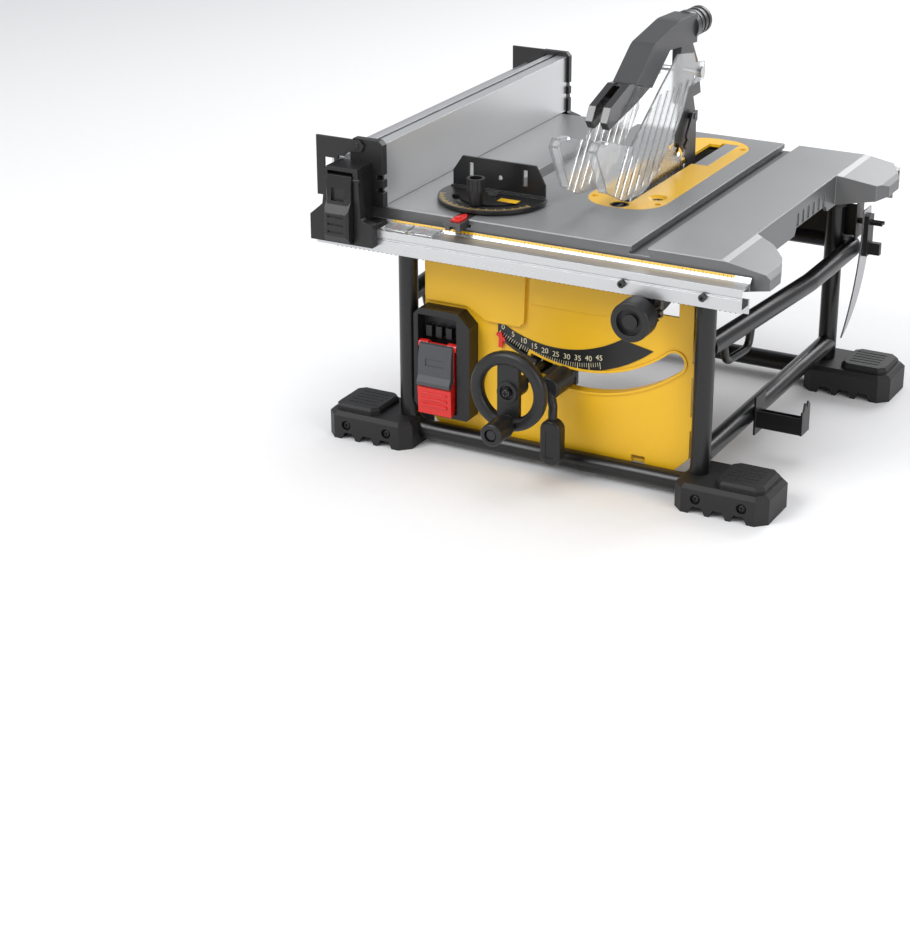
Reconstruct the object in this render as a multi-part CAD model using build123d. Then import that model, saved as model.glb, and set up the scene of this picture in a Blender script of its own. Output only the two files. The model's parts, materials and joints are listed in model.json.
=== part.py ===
from build123d import *
import os
from math import cos, pi, radians, sin, tan

# Compact benchtop table saw. Millimetres, +Z up, +X to the operator's right, +Y away from the operator.
# Origin: on the floor, midway between the four corner posts.

# ---------------------------------------------------------------- driving dimensions
# Table
table_top = 311.5
table_left = -262.0
table_right = 223.0
table_front = -242.5
table_rear = 242.5
table_skin = 7.5
skirt_wall = 5.0
skirt_bottom = 272.0
ear_reach = 60.0
ear_fall = 9.5
ear_edge = 18.0

# Tube cage
post_x = 197.5
post_y = 215.7
tube_r = 12.0
tube_wall = 2.0
tube_bend = 26.0
rail_tube_z = 18.0
side_tube_z = 57.0
hoop_z = 192.0
hoop_x = 222.0
hoop_y = 242.5
hoop_bend = 30.0
loop_front = -168.0
loop_rear = -96.0
loop_drop = 26.0
loop_out = 7.0
loop_r = 5.0
socket_len = 32.0
socket_wall = 4.0

# Feet
foot_in = 19.0
foot_out = 100.0
foot_half = 42.0
foot_h = 36.0
pad_h = 8.0
foot_screw_z = 19.0
foot_fit = 0.2
bench_hole_r = 3.3
bench_hole_out = 88.5
bench_hole_depth = 26.0

# Rip rails
rail_left = -291.0
rail_right = 261.5
rail_face = 32.0
rail_depth = 26.0
rail_gap = 6.0
rail_drop = 20.0
rail_height = 27.5
rail_wall = 3.0
rail_travel = 240.0
slide_gap = 0.4

# Fine adjustment: rack under each rail, pinions on one cross shaft
rack_module = 2.0
pinion_teeth = 17
knob_x = 139.0
knob_r = 24.0
knob_len = 28.0
cross_r = 5.0

# Rip fence
fence_face = -214.0
fence_width = 39.0
fence_height = 75.5
fence_front = -242.0
fence_rear = 255.0
fence_wall = 2.5
table_gap = 0.5

# Blade and its drive
blade_x = 33.5
blade_r = 105.0
blade_kerf = 2.4
blade_plate = 1.6
blade_teeth = 24
cut_depth = 65.0
rest_depth = 45.0
arbor_y = 8.0
arbor_r = 7.94
flange_r = 24.0
gear_module = 1.5
gear_teeth = 34
motor_teeth = 11
motor_r = 40.0
motor_len = 122.0
knife_gap = 5.0
run_fit = 0.05

# Tilt
tilt_max = 45.0
slot_r = 192.5
slot_half = 12.5
slot_rim = 3.0
slot_from = -21.0
slot_to = 40.0
wheel_r = 50.0
wheel_angle = -14.7
wheel_y = -300.0
lock_angle = -6.0
track_in = 78.0
track_out = 90.0
track_fit = 0.3
track_y = 200.0
track_thick = 7.0
key_from = -50.0
key_to = 20.0

# Housing
panel_y = -204.0
panel_skin = 3.0
panel_half = 179.0
panel_low = 27.0
panel_high = 262.0
panel_flange = 16.0
panel_chamfer = 18.0

# Throat plate
throat_x0 = -17.0
throat_x1 = 84.0
throat_y0 = -118.0
throat_y1 = 222.0
throat_skin = 4.0
throat_ledge = 7.0
throat_fit = 0.4
throat_corner = 42.0
kerf_half = 8.0
kerf_front = -91.0
kerf_rear = 196.0
lock_y = -104.0
lock_r = 12.0

# Miter gauge
slot_width = 20.6
slot_depth = 10.0
slot_foot = 26.0
slot_foot_h = 3.5
slot_left_x = -109.0
slot_right_x = 122.8
bar_fit = 0.2
bar_front = -264.0
bar_len = 290.0
miter_y = -160.0
miter_arc = 68.0
miter_max = 60.0

# ---------------------------------------------------------------- derived places
rail_top = table_top - rail_drop
rail_low = rail_top - rail_height
rail_in = table_front - rail_gap
rail_out = rail_in - rail_depth
rack_front = rail_in - 9.2
rack_rear = rail_in - 3.6
arbor_z = table_top + rest_depth - blade_r
pinion_r = rack_module * pinion_teeth / 2
knob_z = rail_low - 5.5 - pinion_r
drive_gap = gear_module * (gear_teeth + motor_teeth) / 2
motor_z = arbor_z - drive_gap
skin_low = table_top - table_skin
ledge_low = table_top - throat_skin - 5


def polar(radius, angle):
    """A point on the tilt arc, measured from straight down, positive to the right."""
    return (blade_x + radius * sin(radians(angle)), table_top - radius * cos(radians(angle)))


wheel_x, wheel_z = polar(slot_r - 3.5, wheel_angle)
lock_x, lock_z = polar(slot_r, lock_angle)


# ---------------------------------------------------------------- helpers
def block(x0, x1, y0, y1, z0, z1):
    centre = ((x0 + x1) / 2, (y0 + y1) / 2, (z0 + z1) / 2)
    return Pos(*centre) * Box(abs(x1 - x0), abs(y1 - y0), abs(z1 - z0))


def cyl_x(r, x0, x1, y, z):
    return Pos((x0 + x1) / 2, y, z) * Rot(0, 90, 0) * Cylinder(r, abs(x1 - x0))


def cyl_y(r, y0, y1, x, z):
    return Pos(x, (y0 + y1) / 2, z) * Rot(90, 0, 0) * Cylinder(r, abs(y1 - y0))


def cyl_z(r, z0, z1, x, y):
    return Pos(x, y, (z0 + z1) / 2) * Cylinder(r, abs(z1 - z0))


def outline(points):
    return make_face(Polyline(*points, close=True))


def prism_x(points, x0, x1):
    """Outline of (y, z) points drawn along X."""
    return extrude(Plane.YZ.offset(x0) * outline(points), x1 - x0)


def prism_y(points, y0, y1):
    """Outline of (x, z) points drawn along Y."""
    return extrude(Plane.XZ.offset(-y1) * outline(points), y1 - y0)


def prism_z(points, z0, z1):
    """Outline of (x, y) points drawn along Z."""
    return extrude(Plane.XY.offset(z0) * outline(points), z1 - z0)


def slab_y(sketch, y0, y1):
    """A sketch in (x, z) drawn along Y."""
    return extrude(Plane.XZ.offset(-y1) * sketch, y1 - y0)


def ring_y(r_in, r_out, a0, a1, y0, y1):
    """A piece of ring about the tilt axis, from angle a0 to a1."""
    middle = (a0 + a1) / 2
    with_arc = Line(polar(r_in, a0), polar(r_out, a0))
    with_arc += ThreePointArc(polar(r_out, a0), polar(r_out, middle), polar(r_out, a1))
    with_arc += Line(polar(r_out, a1), polar(r_in, a1))
    with_arc += ThreePointArc(polar(r_in, a1), polar(r_in, middle), polar(r_in, a0))
    return slab_y(make_face(with_arc), y0, y1)


def tube(points, radius, wall, bend):
    path = FilletPolyline(*points, radius=bend)
    section = Plane(origin=path @ 0, z_dir=path % 0)
    shell = sweep(section * Circle(radius), path=path)
    if wall:
        shell -= sweep(section * Circle(radius - wall), path=path)
    return shell


def both_y(shape):
    return [shape, mirror(shape, about=Plane.XZ)]


def gear(teeth, module, thinning, thick):
    """Spur gear on Z: straight flanks, tips and roots at the usual heights, thinned for backlash."""
    pitch = module * teeth / 2
    root = pitch - 1.25 * module
    half = (pi / 2 - thinning) / teeth
    tooth = [(root - module / 2, -1.5 * half), (root, -1.5 * half), (pitch, -half), (pitch + module * 0.9, -half / 2.6)]
    tooth += [(r, -a) for r, a in reversed(tooth)]
    flank = [(r * cos(a), r * sin(a)) for r, a in tooth]
    one = extrude(outline(flank), thick)
    wheel = Pos(0, 0, thick / 2) * Cylinder(root, thick)
    return wheel + [Rot(0, 0, 360 / teeth * n) * one for n in range(teeth)]


def write(name, shape):
    if isinstance(shape, list):
        shape = Compound(children=shape)
    export_step(shape, f"parts/{name}.step")


# ---------------------------------------------------------------- tube cage
def end_frame_path(y):
    top = skirt_bottom + 8
    return [(-post_x, y, top), (-post_x, y, rail_tube_z), (post_x, y, rail_tube_z), (post_x, y, top)]


def end_frames():
    return both_y(tube(end_frame_path(-post_y), tube_r, tube_wall, tube_bend))


def side_tubes():
    made = []
    for side in (-1, 1):
        run = Pos(side * post_x, 0, side_tube_z) * Rot(90, 0, 0) * Cylinder(tube_r, 2 * post_y)
        run -= Pos(side * post_x, 0, side_tube_z) * Rot(90, 0, 0) * Cylinder(tube_r - tube_wall, 2 * post_y)
        for y in (-post_y, post_y):
            run -= cyl_z(tube_r, 0, table_top, side * post_x, y)
        made.append(run)
    return made


def upper_hoop():
    start_y = -post_y + 6
    points = [(-post_x - 2, start_y, hoop_z), (-hoop_x, 60, hoop_z), (-hoop_x, hoop_y, hoop_z)]
    points += [(hoop_x, hoop_y, hoop_z), (hoop_x, 60, hoop_z), (post_x + 2, start_y, hoop_z)]
    hoop = tube(points, tube_r, tube_wall, hoop_bend)
    for side in (-1, 1):
        hoop -= cyl_z(tube_r, 0, table_top, side * post_x, -post_y)
    loops = [hand_loop(side) - hoop_solid(points) for side in (-1, 1)]
    return hoop + loops


def hoop_solid(points):
    return tube(points, tube_r - tube_wall / 2, 0, hoop_bend)


def hand_loop(side):
    """Bent rod welded under the side of the hoop, a hand-hold."""
    x = side * (post_x + loop_out)
    top = hoop_z - tube_r + 3
    low = top - loop_drop
    points = [(x - side * 3, loop_front, top), (x - side * 3, loop_front + 8, low)]
    points += [(x + side * 3, loop_rear - 8, low), (x + side * 3, loop_rear, top)]
    return tube(points, loop_r, 0, 14)


def foot(side):
    """Moulded foot over one front corner of the cage; side is -1 left, +1 right."""
    x_in = side * (post_x - foot_in)
    x_out = side * (post_x + foot_out)
    body = block(x_in, x_out, -post_y - foot_half, -post_y + foot_half, 0, foot_h)
    body = chamfer(body.edges().filter_by(Axis.Z), 13)
    top = body.faces().sort_by(Axis.Z)[-1]
    body = chamfer(top.edges(), 5)
    pad_in = side * (post_x + 30)
    pad_out = side * (post_x + foot_out - 8)
    pad = block(pad_in, pad_out, -post_y - foot_half + 9, -post_y + foot_half - 9, foot_h - 2, foot_h + pad_h)
    pad = chamfer(pad.edges().filter_by(Axis.Z), 9)
    pad = chamfer(pad.faces().sort_by(Axis.Z)[-1].edges(), 3)
    for n in range(5):
        y = -post_y + (n - 2) * 9
        pad -= block(pad_in + side * 8, pad_out - side * 14, y - 1, y + 1, foot_h + pad_h - 1.5, foot_h + pad_h + 1)
    body += pad
    pitch = (foot_in + foot_out - 14) / 4
    for n in range(3):
        x = x_in + side * (7 + pitch * (n + 1))
        groove = [(x - 11, -1), (x - 6, 9), (x + 6, 9), (x + 11, -1)]
        body -= prism_y(groove, -post_y - foot_half - 1, -post_y + foot_half + 1)
    for x in foot_screw_x(side):
        body -= cyl_y(6.5, -post_y - foot_half - 1, -post_y - foot_half + 5, x, foot_screw_z)
    body -= tube(end_frame_path(-post_y), tube_r + foot_fit, 0, tube_bend)
    body -= cyl_z(bench_hole_r, -1, bench_hole_depth, side * (post_x + bench_hole_out), -post_y)
    return body


def foot_screw_x(side):
    return [side * (post_x + 12), side * (post_x + 70)]


def feet():
    return [each for side in (-1, 1) for each in both_y(foot(side))]


def screw_head(r, y, x, z, height):
    """Button head facing the operator, with a cross recess."""
    head = cyl_y(r, y - height, y, x, z)
    head = fillet(head.faces().sort_by(Axis.Y)[0].edges(), height * 0.45)
    head -= block(x - r * 0.6, x + r * 0.6, y - height - 1, y - height / 2, z - 0.6, z + 0.6)
    head -= block(x - 0.6, x + 0.6, y - height - 1, y - height / 2, z - r * 0.6, z + r * 0.6)
    return head


def foot_screws():
    made = []
    for side in (-1, 1):
        for x in foot_screw_x(side):
            made += both_y(screw_head(4.5, -post_y - foot_half + 5, x, foot_screw_z, 3.5))
    return made


def post_sockets():
    """Plastic sockets that join the posts to the underside of the table."""
    made = []
    for side in (-1, 1):
        x = side * post_x
        low = skirt_bottom - socket_len + 8
        socket = cyl_z(tube_r + socket_wall, low, skin_low, x, -post_y)
        socket -= cyl_z(tube_r + 0.1, low - 1, skirt_bottom + 8.1, x, -post_y)
        made += both_y(socket)
    return made


# ---------------------------------------------------------------- table
def throat_face(shrink, cut=True):
    """Outline of the throat plate: full round at the front, round corners at the rear."""
    width = throat_x1 - throat_x0 - 2 * shrink
    length = throat_y1 - throat_y0 - 2 * shrink
    centre = ((throat_x0 + throat_x1) / 2, (throat_y0 + throat_y1) / 2)
    return Pos(*centre) * RectangleRounded(width, length, throat_corner - shrink)


def miter_slot(x, width, foot_width):
    slot = block(x - width / 2, x + width / 2, table_front - 1, table_rear + 1, table_top - slot_depth, table_top + 1)
    foot_z = table_top - slot_depth
    slot += block(x - foot_width / 2, x + foot_width / 2, table_front - 1, table_rear + 1, foot_z, foot_z + slot_foot_h)
    return slot


def table_ear(points, y0, y1):
    """Sloped corner of the casting that carries the rail ends."""
    x1 = table_right + ear_reach
    top = table_top - ear_fall
    ear = prism_z(points, skirt_bottom, table_top + 1)
    crown = [(table_right - 6, table_top + 5), (table_right - 6, table_top), (table_right, table_top)]
    crown += [(x1 - 6, top), (x1, top - 5), (x1, table_top + 5)]
    ear -= prism_y(crown, y0, y1)
    belly = [(table_right - 6, skirt_bottom - 1), (table_right - 6, skirt_bottom), (x1, top - ear_edge)]
    ear -= prism_y(belly + [(x1, skirt_bottom - 1)], y0, y1)
    hollow = offset(make_face(Polyline(*points, close=True)), -skirt_wall)
    room = extrude(Plane.XY.offset(skirt_bottom - 1) * hollow, table_top - skirt_bottom - 17)
    return ear - (room & block(table_right - skirt_wall, x1, y0, y1, 0, table_top))


def table_ears():
    x0 = table_right - 6
    x1 = table_right + ear_reach
    front = [(x0, table_front), (x1, table_front), (x1, -211), (x1 - 11, -179), (x1 - 33, -150), (x0, -130)]
    rear = [(x0, table_rear), (x1 - 21, table_rear), (x1, 203), (x1, 165), (x1 - 9, 141), (x0, 133)]
    return table_ear(front, table_front, 0) + table_ear(rear, 0, table_rear)


def table():
    skin = block(table_left, table_right, table_front, table_rear, skin_low, table_top)
    walls = block(table_left, table_right, table_front, table_rear, skirt_bottom, skin_low + 1)
    walls -= block(table_left + skirt_wall, table_right - skirt_wall, table_front + skirt_wall,
                   table_rear - skirt_wall, skirt_bottom - 1, skin_low + 1)
    top = skin + walls
    for x in (slot_left_x, slot_right_x):
        rib = slot_foot / 2 + 4
        top += block(x - rib, x + rib, table_front, table_rear, table_top - slot_depth - 4, skin_low + 1)
    top += extrude(Plane.XY.offset(ledge_low) * throat_face(-6), table_top - 1 - ledge_low)
    for y in (-150, 90):
        top += block(table_left, slot_left_x, y, y + 4, skin_low - 14, skin_low + 1)
        top += block(slot_right_x, table_right, y, y + 4, skin_low - 14, skin_low + 1)
    top += table_ears()
    for x in (slot_left_x, slot_right_x):
        top -= miter_slot(x, slot_width, slot_foot)
    top -= extrude(Plane.XY.offset(table_top - throat_skin) * throat_face(-throat_fit), throat_skin + 1)
    opening = extrude(Plane.XY.offset(ledge_low - 1) * throat_face(throat_ledge), 20)
    bridge = block(blade_x + kerf_half + 3.4, throat_x1, kerf_rear - 98, kerf_rear + 8, ledge_low - 1, table_top)
    top -= opening - bridge
    top += block(blade_x + kerf_half + 3.4, blade_x + kerf_half + 22, kerf_rear - 98, kerf_rear + 8,
                 ledge_low, table_top - 0.2)
    for side in (-1, 1):
        for y in (-post_y, post_y):
            top -= cyl_z(tube_r + socket_wall + 0.1, skirt_bottom - 1, skin_low, side * post_x, y)
    notch = [(-8, skirt_bottom - 1), (-2, skirt_bottom + 9), (100, skirt_bottom + 9), (108, skirt_bottom - 1)]
    top -= prism_x(notch, table_right - skirt_wall - 1, table_right + 1)
    for n in range(6):
        y = 2 + n * 18
        top -= cyl_x(4.2, table_right - 2, table_right + 1, y, table_top - 17)
        top -= block(table_right - 2, table_right + 1, y - 4.2, y + 4.2, table_top - 30, table_top - 17)
    for y in (table_front, table_rear - 7):
        top += block(knob_x - 13, knob_x + 13, y, y + 7, knob_z - 12, skirt_bottom + 2)
    top -= cyl_y(cross_r + run_fit, table_front - 1, table_rear + 1, knob_x, knob_z)
    return chamfer_top(top)


def chamfer_top(top):
    edges = top.edges().filter_by(Axis.X).filter_by(lambda e: abs(e.center().Z - table_top) < 0.01)
    rim = [e for e in edges if abs(abs(e.center().Y) - table_rear) < 0.01 and e.length > 30]
    return chamfer(rim, 1.0)


def throat_plate():
    plate = extrude(Plane.XY.offset(table_top - throat_skin) * throat_face(0), throat_skin)
    plate -= block(blade_x - kerf_half, blade_x + kerf_half, kerf_front, kerf_rear, skin_low - 20, table_top + 1)
    window_x = blade_x + kerf_half
    plate -= block(window_x - 1, window_x + 22.5, kerf_rear - 98.5, kerf_rear + 8.5, skin_low - 20, table_top + 1)
    plate -= cyl_z(lock_r, skin_low - 20, table_top + 1, blade_x, lock_y)
    for x, y in throat_screw_places():
        plate -= cyl_z(4, table_top - 2.6, table_top + 1, x, y)
    finger = Pos(blade_x + 30, -58, table_top + 9) * Sphere(15)
    return plate - finger


def throat_screw_places():
    inset = 9
    return [(x, y) for x in (throat_x0 + inset, throat_x1 - inset) for y in (throat_y0 + 34, throat_y1 - 34)]


def throat_lock():
    """Quarter-turn lock under a finger hole, with a cam that grips below the ledge."""
    knob = cyl_z(lock_r - 0.3, table_top - throat_skin, table_top - 0.8, blade_x, lock_y)
    knob -= cyl_z(lock_r - 2.5, table_top - 3, table_top, blade_x, lock_y)
    knob += block(blade_x - 2, blade_x + 2, lock_y - 8, lock_y + 8, table_top - 4, table_top - 1.2)
    return knob


# ---------------------------------------------------------------- tilt track, cradle and controls
def track_plate(y0, low, top):
    face = [(-64, top), (-64, 240), (-30, 206), (96, 206), (128, 236), (128, low), (104, low), (104, top)]
    plate = prism_y(face, y0, y0 + track_thick)
    return plate - ring_y(track_in - track_fit, track_out + track_fit, key_from - 1.5, key_to + tilt_max + 1.5,
                          y0 - 1, y0 + track_thick + 1)


def track_plates():
    """Plates under the table whose curved slots carry the cradle, front and rear."""
    low = table_top - slot_depth - 4
    return [track_plate(-track_y, low, skin_low), track_plate(track_y - track_thick, low, ledge_low)]


def cradle():
    face = [(-62, 297), (-30, 297), (-6, 252), (30, 240), (75, 240), (75, 206), (36, 196), (23, 184), (22, 106)]
    face += [(16, beam_low), (-32, beam_low), (-42, 190), (-62, 250)]
    front = prism_y(face, -192, -186)
    front += ring_y(track_in, track_out, key_from, key_to, -199.5, -191)
    front += cyl_y(12, -192, -170, wheel_x, wheel_z)
    front -= cyl_y(6 + run_fit, -200, -160, wheel_x, wheel_z)
    front -= cyl_y(5 + run_fit, -200, -180, lock_x, lock_z)
    rear = prism_y(face, 186, 192)
    rear += ring_y(track_in, track_out, key_from, key_to, 191, 199.5)
    beam = block(-62, -42, -186, 186, 281, 297)
    lower = block(-30, -8, -186, 186, beam_low, beam_low + 11)
    body = front + rear + beam + lower
    for y in rod_places():
        body += block(-42, -8, y - 11, y + 11, 281, 297)
        body -= cyl_z(8, beam_low + 4, 293, rod_x, y)
    body += block(screw_x - 10, screw_x + 10, screw_y - 10, screw_y + 10, 283, 297)
    body += block(-42, screw_x, screw_y - 6, screw_y + 6, 283, 297)
    body -= cyl_z(5 + run_fit, beam_low + 2, 293, screw_x, screw_y)
    return body


rod_x = -20.0
beam_low = 98.0
screw_x = wheel_x
screw_y = -100.0


def rod_places():
    return (-54.0, 124.0)


def guide_rods():
    return [cyl_z(8, beam_low + 4, 293, rod_x, y) for y in rod_places()]


def lift_screw():
    """Upright lead screw with its mitre gear, turned by the handwheel."""
    screw = cyl_z(5, beam_low + 3, 292, screw_x, screw_y) + cyl_z(6, 152, 280, screw_x, screw_y)
    cone = Pos(screw_x, screw_y, wheel_z + mitre_mid) * Cone(mitre_in, mitre_out, mitre_thick)
    return screw + cone + cyl_z(9, wheel_z + mitre_mid, wheel_z + 22, screw_x, screw_y)


mitre_mid = 12.5
mitre_thick = 7.0
mitre_in = mitre_mid - mitre_thick / 2 - 0.6
mitre_out = mitre_mid + mitre_thick / 2 - 0.6


def wheel_shaft():
    """Handwheel shaft through the curved slot, ending in a mitre gear."""
    shaft = cyl_y(6, wheel_y - 6, screw_y - mitre_mid, wheel_x, wheel_z)
    cone = Pos(wheel_x, screw_y - mitre_mid, wheel_z) * Rot(90, 0, 0) * Cone(mitre_in, mitre_out, mitre_thick)
    return [shaft + cone, crank_pin(), hub_screw()]


def handwheel():
    rim = cyl_y(wheel_r, wheel_y - 8, wheel_y + 8, wheel_x, wheel_z)
    rim -= cyl_y(wheel_r - 16, wheel_y - 9, wheel_y + 9, wheel_x, wheel_z)
    rim = fillet(rim.edges().filter_by(GeomType.CIRCLE), 6.5)
    web = block(wheel_x - 14, wheel_x + 14, wheel_y - 3, wheel_y + 5, wheel_z - wheel_r + 8, wheel_z + wheel_r - 8)
    hub = cyl_y(13, wheel_y - 6, wheel_y + 26, wheel_x, wheel_z)
    boss = cyl_y(10, wheel_y - 11, wheel_y + 6, wheel_x, wheel_z - crank_arm)
    body = rim + web + hub + boss
    body -= cyl_y(9, wheel_y - 12, wheel_y - 3, wheel_x, wheel_z)
    body -= cyl_y(6, wheel_y - 6, wheel_y + 30, wheel_x, wheel_z)
    return body - cyl_y(3.5, wheel_y - 12, wheel_y + 7, wheel_x, wheel_z - crank_arm)


crank_arm = 40.0
crank_front = wheel_y - 47.0


def crank_pin():
    pin = cyl_y(3.5, crank_front + 4, wheel_y + 6, wheel_x, wheel_z - crank_arm)
    return pin + cyl_y(6, crank_front + 2, crank_front + 5, wheel_x, wheel_z - crank_arm)


def crank_knob():
    z = wheel_z - crank_arm
    knob = cyl_y(14, crank_front, wheel_y - 11.5, wheel_x, z)
    knob = fillet(knob.edges().filter_by(GeomType.CIRCLE), 3)
    knob -= cyl_y(8, crank_front - 1, crank_front + 5.3, wheel_x, z)
    return knob - cyl_y(3.5 + run_fit, crank_front, wheel_y - 11, wheel_x, z)


def hub_screw():
    return screw_head(5.5, wheel_y - 6, wheel_x, wheel_z, 4)


def lock_lever():
    """Bevel lock: threaded barrel in the curved slot, with a cranked lever and a flat grip."""
    barrel = cyl_y(14.5, -254, panel_y - panel_skin - 2.3, lock_x, lock_z)
    barrel = fillet(barrel.faces().sort_by(Axis.Y)[0].edges(), 3)
    barrel += cyl_y(9, panel_y - panel_skin - 3, -192.5, lock_x, lock_z)
    barrel += cyl_y(5, -193, -180, lock_x, lock_z)
    grip_x = lock_x + 11
    arm = tube([(lock_x, -247, lock_z), (lock_x + 9, -256, lock_z - 20), (grip_x, -262, 64)], 5.5, 0, 6)
    grip = Pos(grip_x, -262, 57) * Box(27, 15, 58)
    grip = fillet(grip.edges().filter_by(Axis.Y), 12)
    grip = fillet(grip.faces().sort_by(Axis.Y)[0].edges(), 4)
    grip -= Pos(grip_x, -270, 55) * Box(11, 3, 34)
    return barrel + arm + grip


def bevel_pointer():
    """Red pointer on the cradle that reads the bevel scale."""
    face_y = panel_y - panel_skin - 2.4
    x, z = polar(186, -34.5)
    tip = [(x - 3, z - 14), (x + 3, z - 14), (x + 2.5, z), (x + 0.8, z + 6), (x - 0.8, z + 6), (x - 2.5, z)]
    pointer = prism_y(tip, face_y - 1.8, face_y)
    pointer += ring_y(184.5, 188.5, -36.5, -17.6, face_y - 1.8, face_y)
    return pointer + ring_y(184, 190, -20, -17.6, face_y - 1, -192)


# ---------------------------------------------------------------- carriage, motor and blade
def carriage():
    """Casting beside the blade: gear case, rod sleeves and the lift nut."""
    left = -12.0
    plate = [(-112, 214), (-112, 250), (-70, 272), (60, 281), (132, 262), (138, 214), (60, 190), (-40, 190)]
    body = prism_x(plate, 8, 20)
    case = cyl_x(30, left, 9, arbor_y, arbor_z)
    case += cyl_x(14, left, 9, arbor_y, motor_z)
    case += block(left, 9, arbor_y - 14, arbor_y + 14, motor_z, arbor_z)
    body += case
    body -= cyl_x(28.2, left + 3, 8, arbor_y, arbor_z)
    body -= cyl_x(11, left + 3, 8, arbor_y, motor_z)
    body -= block(left + 3, 8, arbor_y - 9, arbor_y + 9, motor_z, arbor_z)
    for y in rod_places():
        body += cyl_z(14, 214, 255, rod_x, y) + block(rod_x, 9, y - 9, y + 9, 218, 252)
    body += cyl_z(13, 216, 248, screw_x, screw_y) + block(screw_x, 9, screw_y - 8, screw_y + 8, 218, 246)
    for y in rod_places():
        body -= cyl_z(8 + run_fit, 200, 270, rod_x, y)
    body -= cyl_z(6 + run_fit, 200, 270, screw_x, screw_y)
    for z in (222, 244):
        body += cyl_x(5, 19, blade_x - blade_plate / 2, knife_y1 - 8, z)
    body -= cyl_x(arbor_r + run_fit, 5, 21, arbor_y, arbor_z)
    body -= cyl_x(7 + run_fit, left - 1, left + 5, arbor_y, arbor_z)
    return body - cyl_x(6, left - 1, left + 5, arbor_y, motor_z)


def motor():
    """Universal motor can with cooling slots and an end cap."""
    right = -12.2
    left = right - motor_len
    can = cyl_x(motor_r, left + 14, right, arbor_y, motor_z)
    can += cyl_x(motor_r - 3, left, left + 15, arbor_y, motor_z)
    can = fillet(can.faces().sort_by(Axis.X)[0].edges(), 5)
    for n in range(12):
        slit = Rot(30 * n, 0, 0) * block(-9, 9, -2.5, 2.5, motor_r - 18, motor_r)
        can -= Pos(left + 34, arbor_y, motor_z) * slit
    can -= cyl_x(26, left + 16, right - 4, arbor_y, motor_z)
    can -= cyl_x(6 + run_fit, left + 6, right - 1, arbor_y, motor_z)
    return can - cyl_x(7, right - 5, right + 1, arbor_y, motor_z)


def armature():
    right = -12.2
    left = right - motor_len
    shaft = cyl_x(6, left + 8, -12, arbor_y, motor_z)
    core = cyl_x(24, left + 36, right - 26, arbor_y, motor_z)
    commutator = cyl_x(14, left + 18, left + 32, arbor_y, motor_z)
    shaft = shaft + core + commutator + cyl_x(5.5, -13, -6.5, arbor_y, motor_z)
    pinion = gear(motor_teeth, gear_module, 0.5, 11)
    return shaft + Pos(-7, arbor_y, motor_z) * Rot(0, 90, 0) * pinion


def arbor():
    shaft = cyl_x(7, -11.8, -6, arbor_y, arbor_z) + cyl_x(arbor_r, -7, blade_x + 17, arbor_y, arbor_z)
    wheel = Pos(-7, arbor_y, arbor_z) * Rot(0, 90, 0) * gear(gear_teeth, gear_module, 0.5, 11)
    return shaft + wheel


def blade_flanges():
    """Inner and outer flange and the arbor nut."""
    half = blade_plate / 2
    inner = cyl_x(flange_r, blade_x - half - 5, blade_x - half, arbor_y, arbor_z)
    outer = cyl_x(flange_r, blade_x + half, blade_x + half + 4, arbor_y, arbor_z)
    outer += Pos(blade_x + half + 4, arbor_y, arbor_z) * Rot(0, 90, 0) * extrude(RegularPolygon(12, 6), 8)
    bore = cyl_x(arbor_r, blade_x - 20, blade_x + 30, arbor_y, arbor_z)
    return [inner - bore, outer - bore]


def saw_blade():
    half = blade_plate / 2
    tip = blade_kerf / 2
    disc = cyl_x(blade_r - 7, blade_x - half, blade_x + half, 0, 0)
    step = 360 / blade_teeth
    reach = (blade_r - 9) * tan(radians(step / 2))
    tooth_outline = [(reach * 0.9, blade_r - 9), (-reach * 0.1, blade_r - 2), (-reach * 0.75, blade_r - 1)]
    tooth_outline += [(-reach * 0.55, blade_r - 9)]
    tooth = prism_x(tooth_outline, blade_x - half, blade_x + half)
    carbide_outline = [(-reach * 0.75, blade_r - 1), (-reach * 0.45, blade_r - 1.6), (-reach * 0.4, blade_r - 7)]
    carbide_outline += [(-reach * 0.64, blade_r - 7)]
    tooth += prism_x(carbide_outline, blade_x - tip, blade_x + tip)
    blade = disc + [Rot(step * n, 0, 0) * tooth for n in range(blade_teeth)]
    blade -= cyl_x(arbor_r, blade_x - 5, blade_x + 5, 0, 0)
    for n in range(4):
        slit = Rot(90 * n + 20, 0, 0) * block(blade_x - 3, blade_x + 3, -0.6, 0.6, blade_r - 28, blade_r)
        blade -= slit
    return Pos(0, arbor_y, arbor_z) * blade


def blade_shroud():
    """Dust shroud around the lower half of the blade, with an outlet at the rear."""
    reach = blade_r + 7
    top = 264.0
    shell = cyl_x(reach, 20, 46, arbor_y, arbor_z) - cyl_x(reach - 2.5, 22, 44, arbor_y, arbor_z)
    shell -= block(0, 80, -200, 250, top, 400)
    shell -= block(0, 80, knife_y0 - 8, 250, 190, 400)
    shell -= cyl_x(flange_r + 3, 15, 60, arbor_y, arbor_z)
    shell -= block(0, 60, arbor_y - flange_r - 3, arbor_y + flange_r + 3, arbor_z, 400)
    duct = block(20, 46, 60, duct_rear, 160, 189) - block(22, 44, 50, duct_rear + 1, 162.5, 186.5)
    duct -= cyl_x(reach - 0.5, 0, 80, arbor_y, arbor_z)
    return (shell - block(22, 44, 60, 120, 162.5, 186.5)) + duct


duct_rear = 168.0
knife_y0 = 94.0
knife_y1 = 127.0


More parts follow.
